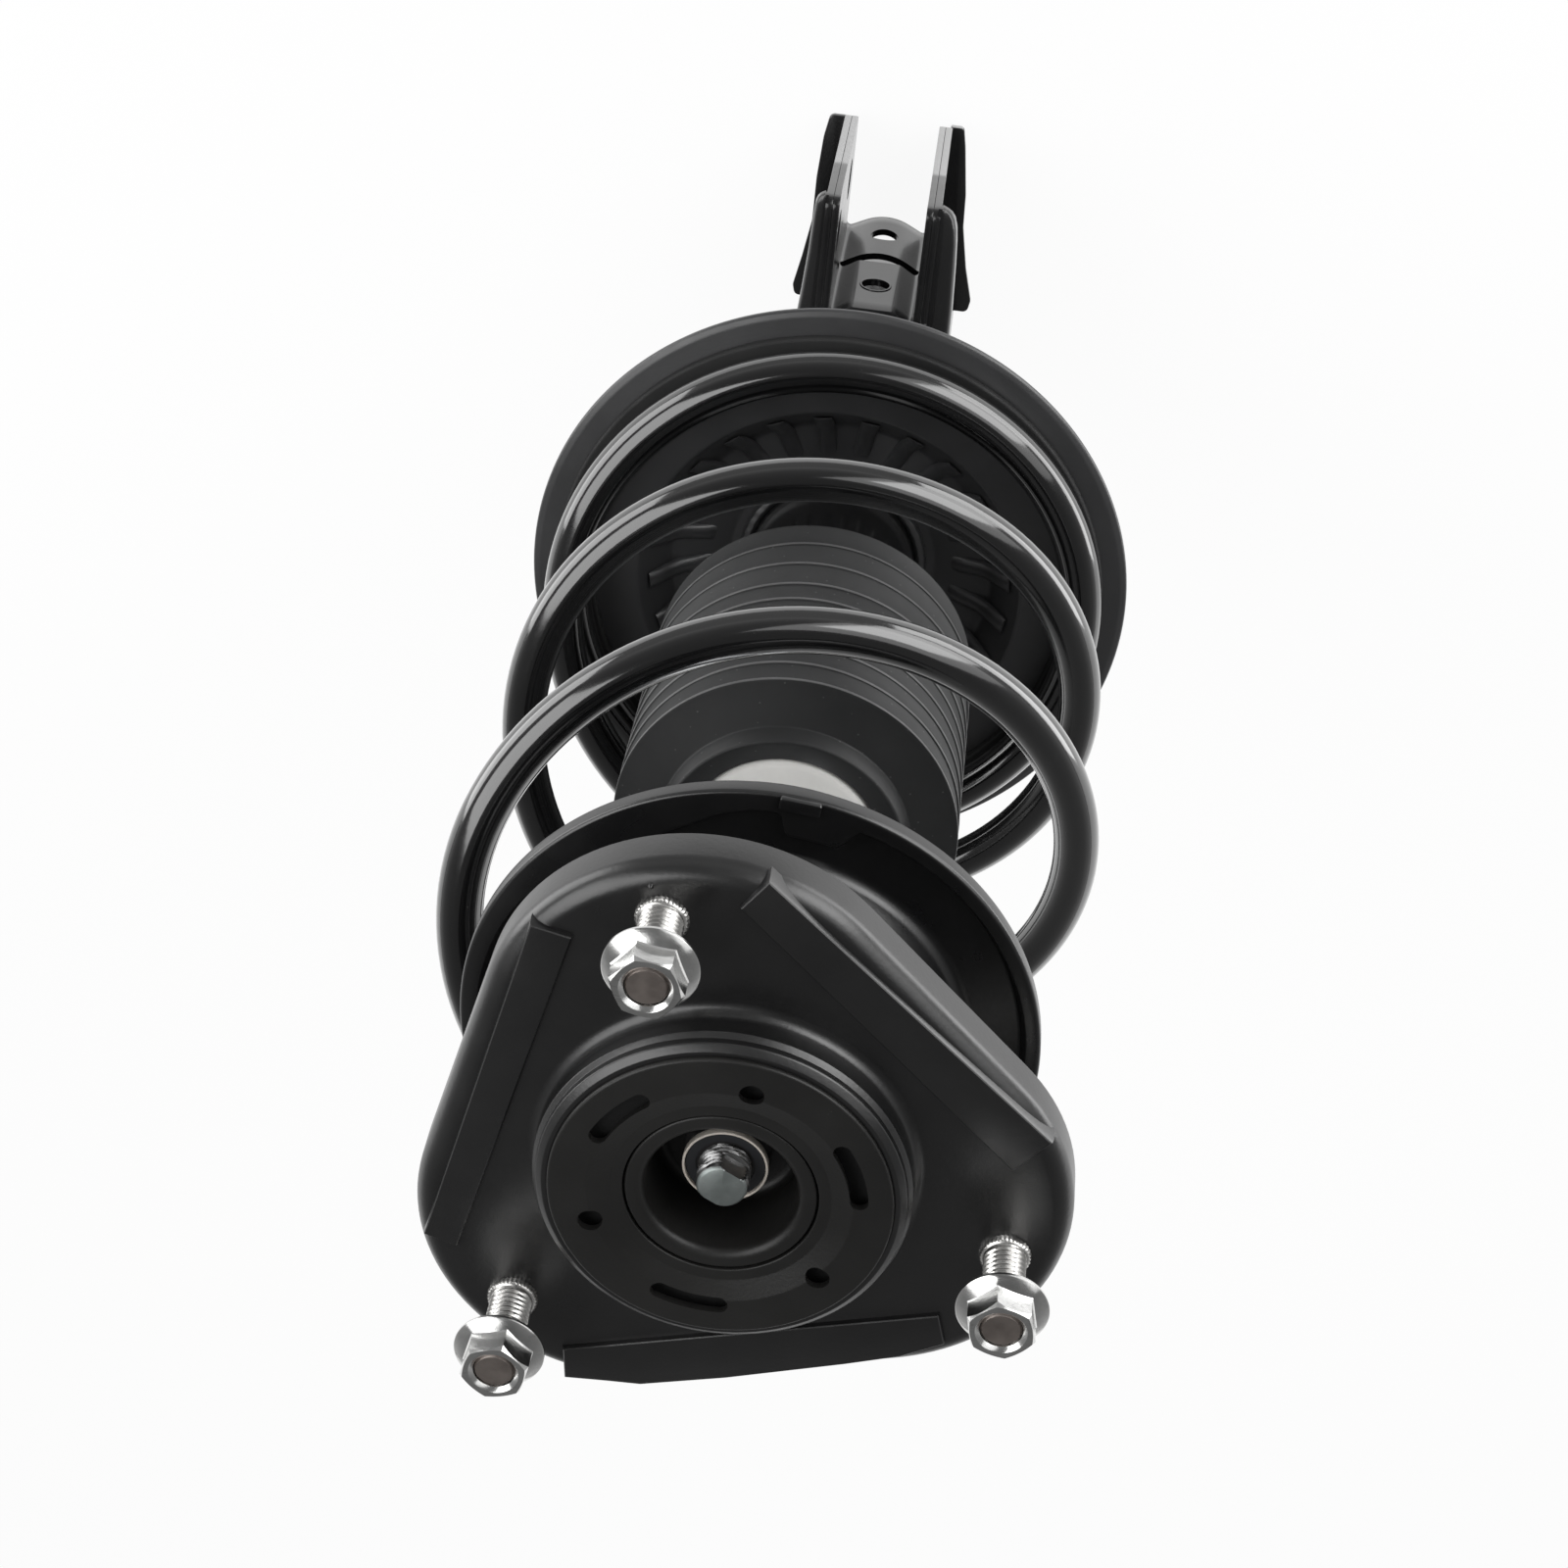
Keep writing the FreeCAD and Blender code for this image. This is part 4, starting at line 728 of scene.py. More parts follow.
def make_flange_nuts():
    """Hexagon nuts whose flange runs up to the hexagon in a cone."""

    def profile(h):
        cone = NUT_LOW + 1.35 + (NUT_FLANGE - h - 0.8) * NUT_CONE_RISE
        chamfer = max(0.0, h - NUT_CHAMFER_START)
        return [
            (NUT_BORE, NUT_LOW + 0.5), (NUT_BORE + 0.5, NUT_LOW), (NUT_FLANGE - 0.35, NUT_LOW),
            (NUT_FLANGE, NUT_LOW + 0.35), (NUT_FLANGE, NUT_LOW + 0.95),
            (NUT_FLANGE - 0.3, NUT_LOW + 1.25), (h + 0.8, cone), (h + 0.25, cone + 0.3),
            (h, cone + 0.75), (h, NUT_TOP - 0.85 * chamfer - 0.15),
            (NUT_CHAMFER_START + (h - NUT_CHAMFER_START) * 0.5 - 0.12, NUT_TOP),
            (NUT_BORE + 0.95, NUT_TOP), (NUT_BORE + 0.8, NUT_TOP - 0.1),
            (NUT_BORE, NUT_TOP - 0.95),
        ]

    nut = hexagon_turned(profile, NUT_FLAT)
    parts = [
        moved(nut, *polar(STUD_CIRCLE, angle), turn=math.radians(turn))
        for angle, turn in zip(STUD_ANGLES, NUT_TURNS)
    ]
    add_piece("flange_nuts", joined(*parts), 24)


ROD_NUT_FLAT = 9.5
ROD_NUT_CHAMFER_START = 9.7


def make_rod_nut():
    """The nut on the rod with its rolled collar, which keeps a thin pale ring of bare steel."""

    def profile(h):
        return [
            (5.8, -7.1), (6.3, -7.5), (h - 0.5, -7.5), (h, -7.0),
            (h, -1.6 - max(0.0, h - ROD_NUT_CHAMFER_START) * 0.6),
            (9.45, -0.9), (9.1, -0.6), (9.1, 0.3), (5.8, 0.3),
        ]

    add_piece("rod_nut", hexagon_turned(profile, ROD_NUT_FLAT))
    ring = rounded([(9.0, -0.6, 0.1), (9.6, -0.6, 0.1), (9.6, 1.3, 0.25), (9.0, 1.3, 0.25)], 5)
    warm = soft("collar_rim", (0.62, 0.56, 0.49), (0.78, 0.72, 0.65), (0.3, 0.42), 0.1)
    add_piece("rod_nut", lathe(ring, 96), SHARP_ANGLE, "rod_nut_collar", False, warm)


make_mount_plate()
make_cover_disc()
make_rod_cup()
make_studs()
make_flange_nuts()
make_rod_nut()


# Piston rod

ROD_RADIUS = 10.0
ROD_SHOULDER = -14.0
ROD_TIP = 8.5
ROD_PITCH = 1.25
ROD_GROOVE = 0.55
ROD_FLAT_REACH = 4.6
ROD_FLAT_FOOT = 3.3
ROD_FLAT_FACING = 62.0
NECK_RADIUS = 6.0
THREAD_FOOT = -7.5
PISTON_TOP = -222.3
PISTON_LOW = -238.3


def make_piston_rod():
    """The chromed rod with a threaded top that has two flats, and a spigot for the piston."""
    low = foot_of("piston_rod")
    rows = [
        (0.0, low), (5.2, low), (5.7, low + 0.5), (5.7, PISTON_LOW), (NECK_RADIUS, PISTON_LOW),
        (NECK_RADIUS, PISTON_TOP), (9.6, PISTON_TOP), (ROD_RADIUS, PISTON_TOP + 0.4),
        (ROD_RADIUS, ROD_SHOULDER - 0.4), (9.6, ROD_SHOULDER), (NECK_RADIUS, ROD_SHOULDER),
        (NECK_RADIUS, THREAD_FOOT),
    ]
    first = len(rows)
    rows += [(NECK_RADIUS - 0.02, THREAD_FOOT + 0.1 + 0.2 * k) for k in range(75)]
    last = len(rows)
    rows += [(5.6, ROD_TIP - 0.6), (5.2, ROD_TIP - 0.2), (4.9, ROD_TIP), (0.0, ROD_TIP)]

    def shape(row, turn, radius, height):
        if first <= row < last:
            radius -= thread_dip(turn, height, ROD_PITCH, ROD_GROOVE)
        if height > ROD_FLAT_FOOT:
            lean = abs(math.cos(turn - math.radians(ROD_FLAT_FACING)))
            radius = min(radius, ROD_FLAT_REACH / max(0.05, lean))
        return radius, height

    rod = add_piece("piston_rod", lathe(rows, 96, loop=False, shape=shape), 38)
    thread = metal("rod_thread", (0.30, 0.30, 0.30), (0.44, 0.44, 0.44), (0.25, 0.4), 0.3)
    add_look(rod, thread, lambda at, normal: at.z > THREAD_FOOT - 0.1)
    end = metal("rod_end", (0.36, 0.40, 0.39), (0.47, 0.51, 0.50), (0.42, 0.55), 0.3)
    add_look(rod, end, lambda at, normal: at.z > ROD_TIP - 0.7 and abs(normal.z) > 0.4)


make_piston_rod()


# Spring and its seats

SEAT_RADIUS = 68.3
SEAT_CREST = -45.9
SEAT_CHANNEL = -49.2
SEAT_LAND = 62.4
SEAT_LOW = -50.6
LUG_FACING = -95.2
# Azimuth in degrees, and the inner radius of the upper seat's raised land there.
LAND = (
    (-180, 64.1), (-141, 64.0), (-108, 63.6), (-106.2, 59.4), (-104.3, 57.3), (-93.6, 57.0),
    (-91.5, 62.8), (-87, 62.7), (-80, 61.6), (-71, 59.1), (-56, 57.4), (-45, 57.1), (-36, 60.2),
    (-31, 62.0), (-20, 63.0), (0, 63.6), (180, 64.1),
)


def make_upper_seat():
    """The pressed dish: neck, shelf, cone, channel, raised land with its odd inner edge, lug."""
    sheet = 2.6
    rim = SEAT_RADIUS - sheet
    profile = rounded(
        [
            (16.0, -48.2, 0.4), (18.6, -48.2, 0.4), (18.6, -30.3, 1.0), (38.4, -30.3, 2.0),
            (48.4, SEAT_CHANNEL - sheet, 3.0), (SEAT_LAND, SEAT_CHANNEL - sheet, 1.2),
            (SEAT_LAND + 1.5, SEAT_CREST - sheet, 1.2), (rim, SEAT_CREST - sheet, 0.8),
            (rim, SEAT_LOW, 0.4), (SEAT_RADIUS, SEAT_LOW, 0.5), (SEAT_RADIUS, SEAT_CREST, 1.0),
            (SEAT_LAND + 0.7, SEAT_CREST, 0.6), (SEAT_LAND - 0.7, SEAT_CHANNEL, 0.9),
            (50.0, SEAT_CHANNEL, 4.0), (40.0, -27.7, 3.0), (16.0, -27.7, 0.8),
        ],
        6,
    )

    def shape(row, turn, radius, height):
        near, far = 51.0, 66.4
        if height > SEAT_CHANNEL - 1.0 and near < radius < far:
            degrees = (math.degrees(turn) + 180) % 360 - 180
            share = min(1.0, (far - radius) / 3.2) * min(1.0, (radius - near) / 9.0)
            radius += (smooth_table(LAND, degrees)[0] - SEAT_LAND) * share
        return radius, height

    seat = lathe(profile, 360, shape=shape)
    lug = rounded([(64.8, -4.7, 0.5), (67.9, -4.7, 0.5), (67.9, 4.7, 0.5), (64.8, 4.7, 0.5)], 3)
    block = moved(worked(prism(lug, -47.5, -44.6), bevel(0.35)), turn=math.radians(LUG_FACING))
    add_piece("upper_spring_seat", joined(seat, block), name="upper_seat_skin")


# Turn counted from the top coil at -Y, share of the drop, share of the way to the end coil.
COURSE = (
    (-2.75, 1.0, 0.0), (-2.5, 1.0, 0.0), (-2.2, 1.0, 0.0), (-2.0, 0.985, 0.0),
    (-1.75, 0.927, 0.0), (-1.5, 0.84, 0.0), (-1.25, 0.751, 0.0), (-1.0, 0.65, 0.0),
    (-0.75, 0.589, 0.0), (-0.5, 0.5, 0.0), (-0.25, 0.384, 0.0), (0.0, 0.251, 0.0),
    (0.2, 0.138, 0.0), (0.3, 0.099, 0.05), (0.5, 0.038, 0.48), (0.72, 0.003, 1.0),
    (1.0, 0.0, 1.0), (1.35, 0.0, 1.0),
)
COIL_RADIUS = 75.4
END_RADIUS = 56.0
WIRE = 5.8
SPRING_TOP = -58.9
SPRING_DROP = 200.1


def coil_point(turn):
    share, inward = smooth_table(COURSE, turn)
    angle = TAU * turn + math.radians(-3.0)
    reach = COIL_RADIUS + (END_RADIUS - COIL_RADIUS) * inward
    level = SPRING_TOP - SPRING_DROP * share
    return Vector((reach * math.sin(angle), -reach * math.cos(angle), level))


def make_spring():
    """Round wire along the coil with cut, slightly bevelled ends."""
    around = 36
    steps = 560
    first = COURSE[0][0]
    last = COURSE[-1][0]
    sections = []
    for i in range(steps + 1):
        turn = first + (last - first) * i / steps
        here = coil_point(turn)
        ahead = coil_point(min(last, turn + 0.002)) - coil_point(max(first, turn - 0.002))
        ahead.normalize()
        out = Vector((here.x, here.y, 0.0)).normalized()
        out = (out - ahead * out.dot(ahead)).normalized()
        up = ahead.cross(out)
        ring = [here + out * x + up * y for x, y in circle(0.0, 0.0, WIRE, around)]
        if i in (0, steps):
            tip = [here + (p - here) * 0.88 for p in ring]
            back = ahead * (0.7 if i == 0 else -0.7)
            pair = [tip, [p + back for p in ring]]
            sections += pair if i == 0 else pair[::-1]
        else:
            sections.append(ring)
    spring = add_piece("coil_spring", swept(sections), 50, "coil_spring_wire")
    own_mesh(spring)


PAN_RADIUS = 88.4
PAN_STEP = 57.0
PAN_FLOOR = 48.0
PAN_HUB = 31.0
PAN_COLLAR = 28.1
TUBE_SEAT = 25.1
RIB_COUNT = 24
# Radius, height from the shelf and share of the full section along one rib.
RIB_LINE = (
    (36.5, -17.0, 0.3), (41.0, -15.4, 1.0), (46.0, -13.2, 1.0), (49.5, -9.5, 1.0),
    (52.0, -6.0, 1.0), (53.9, -3.0, 0.3),
)


def make_lower_seat():
    """The pan: a gently falling rim, a flat shelf, a bowl with ribs, and the hub's collar."""
    top = top_of("lower_spring_seat")
    sheet = 3.0
    profile = rounded(
        [
            (TUBE_SEAT, top - 35.0, 0.4), (PAN_COLLAR, top - 35.0, 0.5),
            (PAN_COLLAR, top - 22.0, 2.5), (PAN_HUB, top - 22.0, 1.5),
            (PAN_FLOOR + 1.2, top - 16.0, 3.0), (PAN_STEP + 1.2, top - sheet, 2.5),
            (81.0, top - sheet, 2.0), (PAN_RADIUS, top - 2.6, 0.5), (PAN_RADIUS, top - 1.0, 1.0),
            (86.5, top - 0.35, 3.0), (80.0, top, 3.0), (PAN_STEP, top, 1.3),
            (PAN_FLOOR, top - 13.0, 4.0), (PAN_HUB, top - 19.0, 3.0),
            (TUBE_SEAT, top - 18.6, 0.4),
        ],
        7,
    )
    arc = circle(0.0, 0.0, 1.0, 16)[:9]
    sections = [
        [(r - 1.2 * swell * y, 2.7 * x, top + z + 1.5 * swell * y - 0.4) for x, y in arc]
        for r, z, swell in RIB_LINE
    ]
    rib = swept(sections)
    weld = [(25.0, 1.2), (26.2, 2.2), (27.8, 1.6), (28.4, 0.2), (27.6, -1.0), (25.0, -1.0)]

    def ripple(row, turn, radius, height):
        return radius + (0.12 * math.sin(turn * 46) if radius > 26 else 0), height

    bead = lathe(rounded([(r, z, 0.5) for r, z in weld], 3), 240, shape=ripple)
    parts = [lathe(profile, 240)]
    parts += [moved(rib, turn=TAU * (k + 0.5) / RIB_COUNT) for k in range(RIB_COUNT)]
    parts.append(moved(bead, z=top - 18.8))
    add_piece("lower_spring_seat", joined(*parts), 30, "lower_seat_skin")


def make_isolators():
    """The two rubber rings, each with rounded edges."""
    top = top_of("lower_isolator")
    ring = rounded(
        [(69.5, top - 2.95, 0.5), (81.2, top - 2.95, 0.5), (81.2, top, 0.9), (69.5, top, 0.9)], 5
    )
    add_piece("lower_isolator", lathe(ring, 180))
    low = foot_of("upper_isolator")
    ring = rounded(
        [
            (52.7, low, 0.5), (65.5, low, 0.9), (65.5, -48.65, 0.9), (64.4, -48.65, 0.6),
            (62.6, -51.9, 0.6), (52.7, -51.9, 0.4),
        ],
        4,
    )
    add_piece("upper_isolator", lathe(ring, 180))


make_upper_seat()
make_spring()
make_lower_seat()
make_isolators()


# Damper

BOOT_NEAR = -136.0
BOOT_RADIUS = 45.0
BOOT_WALL = 1.6
FOLD_FOOT = 44.5
# Pitch and waist radius of each fold, from the mouth down.
FOLDS = ((8.5, 43.5),) * 6 + ((11.5, 42.9),) * 3


def make_boot():
    """The bellows: collar and flat cone at the mouth, then folds with a thin crest bead each."""
    outside = [
        (25.4, -129.2, 0.3), (31.5, -127.75, 0.9), (32.8, -132.9, 0.7),
        (43.6, BOOT_NEAR + 0.2, 0.4),
    ]
    inside = [(25.4, -130.6, 0.3), (29.9, -129.4, 0.6), (31.2, -134.4, 0.7), (41.9, -137.4, 0.5)]
    level = BOOT_NEAR
    for pitch, waist in FOLDS:
        wall = [
            (waist, level - 1.7, 0.3),
            ((waist + FOLD_FOOT) / 2 - 0.1, level - pitch / 2 - 0.6, 4.0),
            (FOLD_FOOT, level - pitch - 0.05, 0.15),
        ]
        outside += [(BOOT_RADIUS, level - 0.1, 0.25), (BOOT_RADIUS, level - 0.95, 0.3)] + wall
        inside += [(r - BOOT_WALL, z, 0.3) for r, z, _ in wall]
        level -= pitch
    outside.append((44.8, level, 0.3))
    inside.append((42.6, level, 0.3))
    profile = rounded(outside + inside[::-1], 4)
    boot = add_piece("dust_boot", lathe(profile, 216), 40)
    # Paler, glossier rubber on the crest beads: a painted highlight along each crest.
    pale = ((0.07, 0.07, 0.071), (0.11, 0.11, 0.111), (0.3, 0.38), 0.1, 900.0, 0.8)
    crest_highlight_look = soft("boot_crest_highlight", *pale)
    add_look(boot, crest_highlight_look, lambda at, normal: at.xy.length > BOOT_RADIUS - 0.22)


def make_bump_stop():
    low = foot_of("bump_stop")
    top = top_of("bump_stop")
    profile = rounded(
        [
            (10.6, low, 0.5), (19.8, low, 1.0), (22.0, low + 6.1, 3.0), (22.0, low + 13.4, 3.0),
            (18.5, low + 18.3, 2.5), (22.0, low + 23.2, 3.0), (22.0, low + 32.9, 3.0),
            (18.5, low + 37.8, 2.5), (22.0, low + 42.7, 2.0), (25.0, low + 48.8, 2.0),
            (25.0, top, 2.4), (10.6, top, 1.2),
        ],
        6,
    )
    add_piece("bump_stop", lathe(profile, 144))


def make_tube():
    low = foot_of("damper_tube")
    top = top_of("damper_tube")
    profile = rounded([(23.0, low, 0.5), (25.0, low, 0.6), (25.0, top, 0.4), (23.0, top, 0.4)], 4)
    add_piece("damper_tube", lathe(profile, 144))


make_boot()
make_bump_stop()
make_tube()


# Knuckle bracket

EAR_FRONT = -70.0
EAR_TOP = -400.0
EAR_CORNER = 4.0
EAR_OUTER = 18.7
OUTER_SHEET = 2.4
INNER_SHEET = 2.2
OUTER_MIDDLE = EAR_OUTER - OUTER_SHEET / 2
LINER_MIDDLE = EAR_OUTER - OUTER_SHEET - INNER_SHEET / 2
WRAP_MIDDLE = 26.3
WRAP_TOP = -352.0
BRACKET_LOW = -481.98
BOLT_RADIUS = 7.1
BOLT_REACH = -53.0
BOLT_LEVELS = (-463.0, -415.0)
EAR_STATIONS = (
    -70.0, -69.7, -69.2, -68.4, -67.4, -66.0, -62.0, -58.0, -54.0, -50.0, -46.0, -42.0, -38.0
)


def ear_limits(y):
    """Lowest and highest level of an ear's sheet at y."""
    cut = 0.0
    if y < EAR_FRONT + EAR_CORNER:
        reach = EAR_FRONT + EAR_CORNER - y
        cut = EAR_CORNER - math.sqrt(max(0.0, EAR_CORNER ** 2 - reach ** 2))
    rise = min(1.0, max(0.0, (y + 30.0) / 18.0))
    return BRACKET_LOW + cut, EAR_TOP - cut + (WRAP_TOP - EAR_TOP) * rise


def sheet_wall(path, thickness, limits, cutters, plan=None):
    """A sheet that stands on a path in plan, with its edges softened and holes cut."""
    verts = []
    levels = 14
    for i in range(levels + 1):
        for k, (x, y) in enumerate(path):
            low, high = limits(y)
            z = low + (high - low) * i / levels
            verts.append((x, y, z) if plan is None else (*plan(k, z), z))
    wall = (verts, grid_faces(levels + 1, len(path), closed=False))
    thick = {"thickness": thickness * MM, "offset": 0.0, "use_even_offset": True}
    return worked(wall, ("SOLIDIFY", thick), bevel(0.3), ("BOOLEAN", {"cutters": cutters}))


def bolt_cutters():
    """Round bars along X at the two bolts."""
    bars = []
    for level in BOLT_LEVELS:
        ring = circle(BOLT_REACH, level, BOLT_RADIUS, 40)
        bars.append(swept([[(x, y, z) for y, z in ring] for x in (-40.0, 40.0)]))
    return bars


# Rolled flare outside an ear's top edge: y, then its reach from the middle on +X and on -X.
FLARE = (
    (-70.6, 19.4, 19.4), (-69.8, 20.6, 21.0), (-68.6, 21.5, 22.3), (-66.6, 22.1, 23.5),
    (-63.0, 22.4, 24.5), (-58.0, 22.6, 25.1), (-50.0, 22.9, 25.7), (-35.0, 24.0, 26.5),
    (-24.0, 25.0, 26.8), (-16.0, 25.8, 27.0),
)
# Outer edge of the flange at the bracket's lower end, as reach and y with a corner radius.
LOW_FLANGE = (
    ((23.9, -69.0, 2.0), (25.4, -61.0, 20.0), (26.4, -46.0, 20.0), (26.4, -30.0, 12.0),
     (28.7, -16.0, 12.0), (30.9, -5.0, 3.0), (30.0, -1.2, 2.0)),
    ((22.6, -70.0, 1.5), (23.9, -63.0, 20.0), (26.2, -45.8, 20.0), (26.8, -34.0, 12.0),
     (29.6, -19.0, 12.0), (32.8, -7.0, 3.0), (32.0, -2.6, 2.0)),
)


def make_flange(edge):
    """The flange turned out at the lower end, on the +X side."""
    outline = [(18.0, edge[0][1])] + list(edge) + [(26.0, edge[-1][1]), (24.9, -8.0), (18.0, -20.0)]
    return worked(prism(rounded(outline, 6), BRACKET_LOW, BRACKET_LOW + OUTER_SHEET), bevel(0.4, 3))


def make_flare(side):
    """The rolled flare outside one ear's top edge, with a rounded front end, on the +X side."""
    sections = []
    for row in FLARE:
        y = row[0]
        width = row[side] - EAR_OUTER
        droop = 4.0 + 3.4 * min(1.0, max(0.0, (y + 71.0) / 6.0)) * (1 if side == 1 else 1.15)
        slim = min(1.0, width / 3)
        root = EAR_OUTER - 0.8
        tip = EAR_OUTER + width
        section = rounded(
            [
                (root, -0.5), (EAR_OUTER + 0.25 * width, -0.5, 1.4),
                (EAR_OUTER + width * 0.97, -1.9, 2.6 * slim), (tip, -droop, 0.5),
                (tip - min(1.9, width * 0.5), -droop, 0.4),
                (EAR_OUTER + width * 0.45, -3.2, 1.4 * slim), (root, -2.9),
            ],
            5,
        )
        sections.append([(x, y, EAR_TOP + z) for x, z in section])
    return swept(sections)


def make_knuckle_bracket():
    """Outer bracket: wrap round the tube, two ears, their flares and the lower flanges."""
    corner = -math.degrees(math.acos(OUTER_MIDDLE / WRAP_MIDDLE))
    half = [(OUTER_MIDDLE, y) for y in EAR_STATIONS + (-34.0, -30.0, -27.0, -24.0)]
    half += [polar(WRAP_MIDDLE, corner + 4.0 + 4.5 * k) for k in range(30)]
    half = [point for point in half if point[0] > 1.0]
    path = half + [(0.0, WRAP_MIDDLE)] + [(-x, y) for x, y in half[::-1]]
    front = len(EAR_STATIONS)
    for _ in range(4):
        path = [
            point
            if not front < i < len(path) - 1 - front
            else tuple((path[i - 1][c] + 2 * point[c] + path[i + 1][c]) / 4 for c in (0, 1))
            for i, point in enumerate(path)
        ]
    wall = sheet_wall(path, OUTER_SHEET, ear_limits, bolt_cutters())
    parts = [wall, make_flange(LOW_FLANGE[0]), mirrored(make_flange(LOW_FLANGE[1]))]
    parts += [make_flare(1), mirrored(make_flare(2))]
    mark_edges(add_piece("knuckle_bracket", joined(*parts), 35))


def web_plan():
    """Plan of the liner's sheet in its three stretches, the web once round and once faceted."""
    side = [(LINER_MIDDLE, y) for y in EAR_STATIONS]
    start = [(LINER_MIDDLE, -38.0), (LINER_MIDDLE, -26.9, 2.4)]
    end = [(-LINER_MIDDLE, -26.9, 2.4), (-LINER_MIDDLE, -38.0)]
    arc = rounded(start + [(0.0, -34.5, 16.0)] + end, 12, loop=False)
    facet = rounded(start + [(6.8, -32.3, 0.8), (-6.8, -32.3, 0.8)] + end, 9, loop=False)
    left = [(-x, y) for x, y in side[::-1]]
    return [side[:-1] + evenly(web, 60) + left[1:] for web in (arc, facet)]


def evenly(line, count):
    """Points spread evenly along a line of straight pieces."""
    lengths = [0.0]
    for a, b in zip(line, line[1:]):
        lengths.append(lengths[-1] + math.dist(a, b))
    out = []
    for i in range(count + 1):
        at = lengths[-1] * i / count
        k = min(len(line) - 2, max(j for j in range(len(line) - 1) if lengths[j] <= at + 1e-9))
        share = (at - lengths[k]) / (lengths[k + 1] - lengths[k])
        out.append(between(line[k], line[k + 1], share))
    return out


WEB_SLOT = (-447.8, -440.6)
WEB_HOLES = (-465.3, -420.5)
WEB_HOLE_RADIUS = 4.8
WEB_CUT = (-40.0, -26.0)


def make_bracket_liner():
    """Inner channel: two liner sheets joined by a web, round below its slot and flat above it."""
    path, flat_path = web_plan()
    below, above = WEB_SLOT

    def plan(k, z):
        share = min(1.0, max(0.0, (z - below) / (above - below)))
        return between(path[k], flat_path[k], share)

    def limits(y):
        return tuple(min(EAR_TOP, level) for level in ear_limits(min(y, -30.0)))

    half = LINER_MIDDLE - INNER_SHEET / 2 - 0.5
    slot = [(-half, below, 3.0), (half, below, 3.0), (half, above, 3.0), (-half, above, 3.0)]
    rings = [rounded(slot, 5)]
    rings += [circle(0.0, level, WEB_HOLE_RADIUS, 36) for level in WEB_HOLES]
    cutters = bolt_cutters()
    cutters += [swept([[(x, y, z) for x, z in ring] for y in WEB_CUT]) for ring in rings]
    parts = [sheet_wall(path, INNER_SHEET, limits, cutters, plan)]
    lip = rounded([(4.6, -0.6, 0.1), (5.5, -0.6, 0.2), (5.3, 0.3, 0.2), (4.6, 0.3, 0.2)], 4)
    verts, faces = lathe(lip, 40)
    parts.append(([(x, -33.4 - z, WEB_HOLES[1] + y) for x, y, z in verts], faces))
    mark_edges(add_piece("bracket_liner", joined(*parts), 35))


EDGE_REFLECTION_LOOK = edge_painted_reflection("bracket_edge_painted_reflection")


def mark_edges(piece):
    """Gives the sheets' front edges their paler look of bare steel and painted reflection."""
    add_look(piece, EDGE_REFLECTION_LOOK, lambda at, normal: at.y < EAR_FRONT + 0.5 and normal.y < -0.7)


make_knuckle_bracket()
make_bracket_liner()


# Floor, light and camera

MIDDLE = Vector((0.0, 0.0, -0.1))
FLOOR_TONE = (0.94, 0.94, 0.94)
FLOOR_SEEN = 0.92
BACKDROP_TONE = (0.97, 0.97, 0.97)
ROOM_STRENGTH = 0.5
# What reflections see, from straight down over the horizon to straight up.
ROOM_TONES = (
    (0.0, 0.3), (0.49, 0.35), (0.5, 0.5), (0.56, 0.34), (0.68, 0.2), (0.87, 0.13), (1.0, 0.1)
)
# Azimuth and elevation in degrees, distance, width and height in metres, power in watts.
LAMPS = {
    "softbox_left": (68.0, 49.0, 1.2, 0.85, 1.1, 7.0),
    "softbox_right": (-43.0, 15.0, 1.3, 0.75, 1.05, 6.4),
    "panel_right": (-47.0, 30.0, 1.35, 1.3, 1.15, 4.2),
    "panel_low_left": (70.0, -8.0, 0.9, 0.8, 0.5, 3.2),
    "panel_low_right": (-62.0, -22.0, 0.75, 0.9, 0.3, 2.6),
}


def seen_directly(tree, rays, share):
    """The share for camera, glossy and transmission rays, and 0 for the others."""
    names = ("Is Camera Ray", "Is Glossy Ray", "Is Transmission Ray")
    total = rays.outputs[names[0]]
    for name in names[1:]:
        total = maths(tree, "MAXIMUM", total, rays.outputs[name])
    return maths(tree, "MULTIPLY", total, share)


def emptied(owner):
    """The owner's node tree, without nodes."""
    owner.use_nodes = True
    owner.node_tree.nodes.clear()
    return owner.node_tree


def make_stage():
    """A plain white floor under the bracket; it ends in front, where the room is dim."""
    size = 4.0
    front = -0.45
    level = -0.486
    corners = [(-size, front), (size, front), (size, size), (-size, size)]
    mesh = bpy.data.meshes.new("floor")
    mesh.from_pydata([(x, y, level) for x, y in corners], [], [(0, 1, 2, 3)])
    floor = new_object("floor", mesh)
    mat = bpy.data.materials.new("floor_white")
    tree = emptied(mat)
    rays = add_node(tree, "LightPath")
    plain = add_node(tree, "BsdfDiffuse", {"Color": FLOOR_TONE})
    glow = add_node(tree, "Emission", {"Strength": 1.0})
    seen = seen_directly(tree, rays, FLOOR_SEEN)
    mix = add_node(tree, "MixShader", {0: seen, 1: plain.outputs[0], 2: glow.outputs[0]})
    add_node(tree, "OutputMaterial", {"Surface": mix.outputs[0]})
    mesh.materials.append(mat)


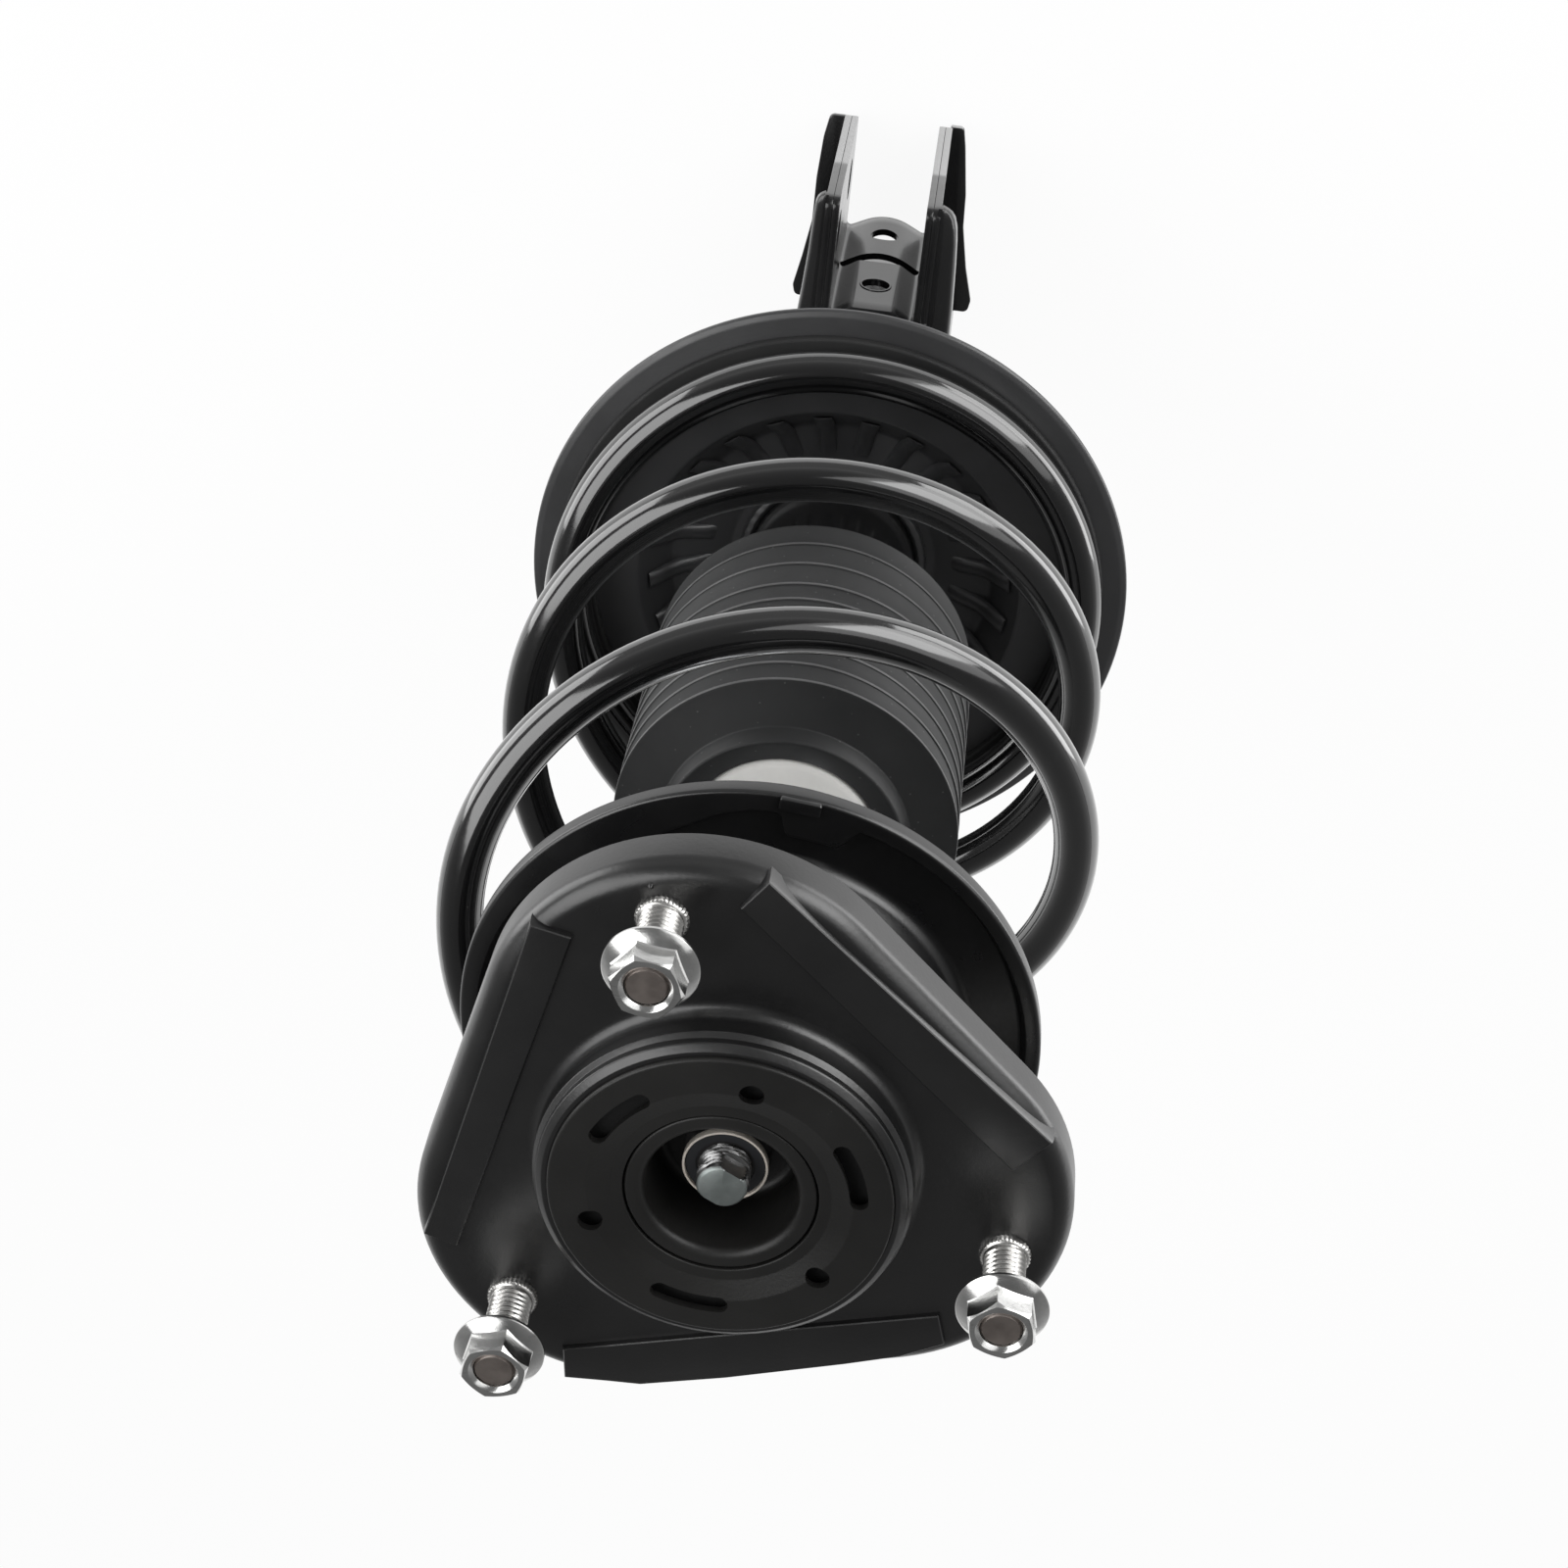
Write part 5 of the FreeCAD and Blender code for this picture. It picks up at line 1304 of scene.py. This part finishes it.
def make_world():
    """White behind the strut; reflections see a dim room that darkens overhead."""
    scene.world = bpy.data.worlds.new("studio")
    tree = emptied(scene.world)
    rays = add_node(tree, "LightPath")
    coords = add_node(tree, "TexCoord")
    split = add_node(tree, "SeparateXYZ", {0: coords.outputs["Generated"]})
    rise = maths(tree, "MULTIPLY_ADD", split.outputs["Z"], 0.5, 0.5)
    dim = add_node(tree, "Background", {"Strength": ROOM_STRENGTH})
    lit = add_node(tree, "Background", {"Color": ramp(tree, rise, ROOM_TONES)})
    white = add_node(tree, "Background", {"Color": BACKDROP_TONE})
    reflected = seen_directly(tree, rays, 1.0)
    room = add_node(tree, "MixShader", {0: reflected, 1: dim.outputs[0], 2: lit.outputs[0]})
    direct = rays.outputs["Is Camera Ray"]
    mix = add_node(tree, "MixShader", {0: direct, 1: room.outputs[0], 2: white.outputs[0]})
    add_node(tree, "OutputWorld", {"Surface": mix.outputs[0]})


def add_lamp(name, azimuth, elevation, distance, width, height, power):
    """A soft panel that faces the strut's middle; azimuth 0 is -Y, 90 is +X."""
    tilt = math.radians(elevation)
    x, y = polar(math.cos(tilt), azimuth - 90.0)
    aim = Vector((x, y, math.sin(tilt)))
    data = bpy.data.lights.new(name, "AREA")
    data.shape = "RECTANGLE"
    data.size = width
    data.size_y = height
    data.energy = power
    lamp = new_object(name, data)
    lamp.visible_camera = False
    lamp.location = MIDDLE + distance * aim
    lamp.rotation_euler = aim.to_track_quat("Z", "Y").to_euler()


def make_camera():
    data = bpy.data.cameras.new("camera")
    data.sensor_width = 36.0
    data.lens = 67.8666
    data.clip_start = 0.01
    data.clip_end = 50.0
    camera = new_object("camera", data)
    right = Vector((-0.99097, -0.09348, -0.09611))
    up = Vector((0.13042, -0.83824, -0.52948))
    back = Vector((-0.03106, -0.53723, 0.84286))
    turn = Matrix((right, up, back)).transposed()
    camera.matrix_world = Matrix.Translation((-0.02212, -0.422067, 0.504584)) @ turn.to_4x4()
    scene.camera = camera


make_stage()
make_world()
for lamp_name, lamp_values in LAMPS.items():
    add_lamp(lamp_name, *lamp_values)
make_camera()

scene.view_settings.view_transform = "Standard"
bpy.context.view_layer.update()
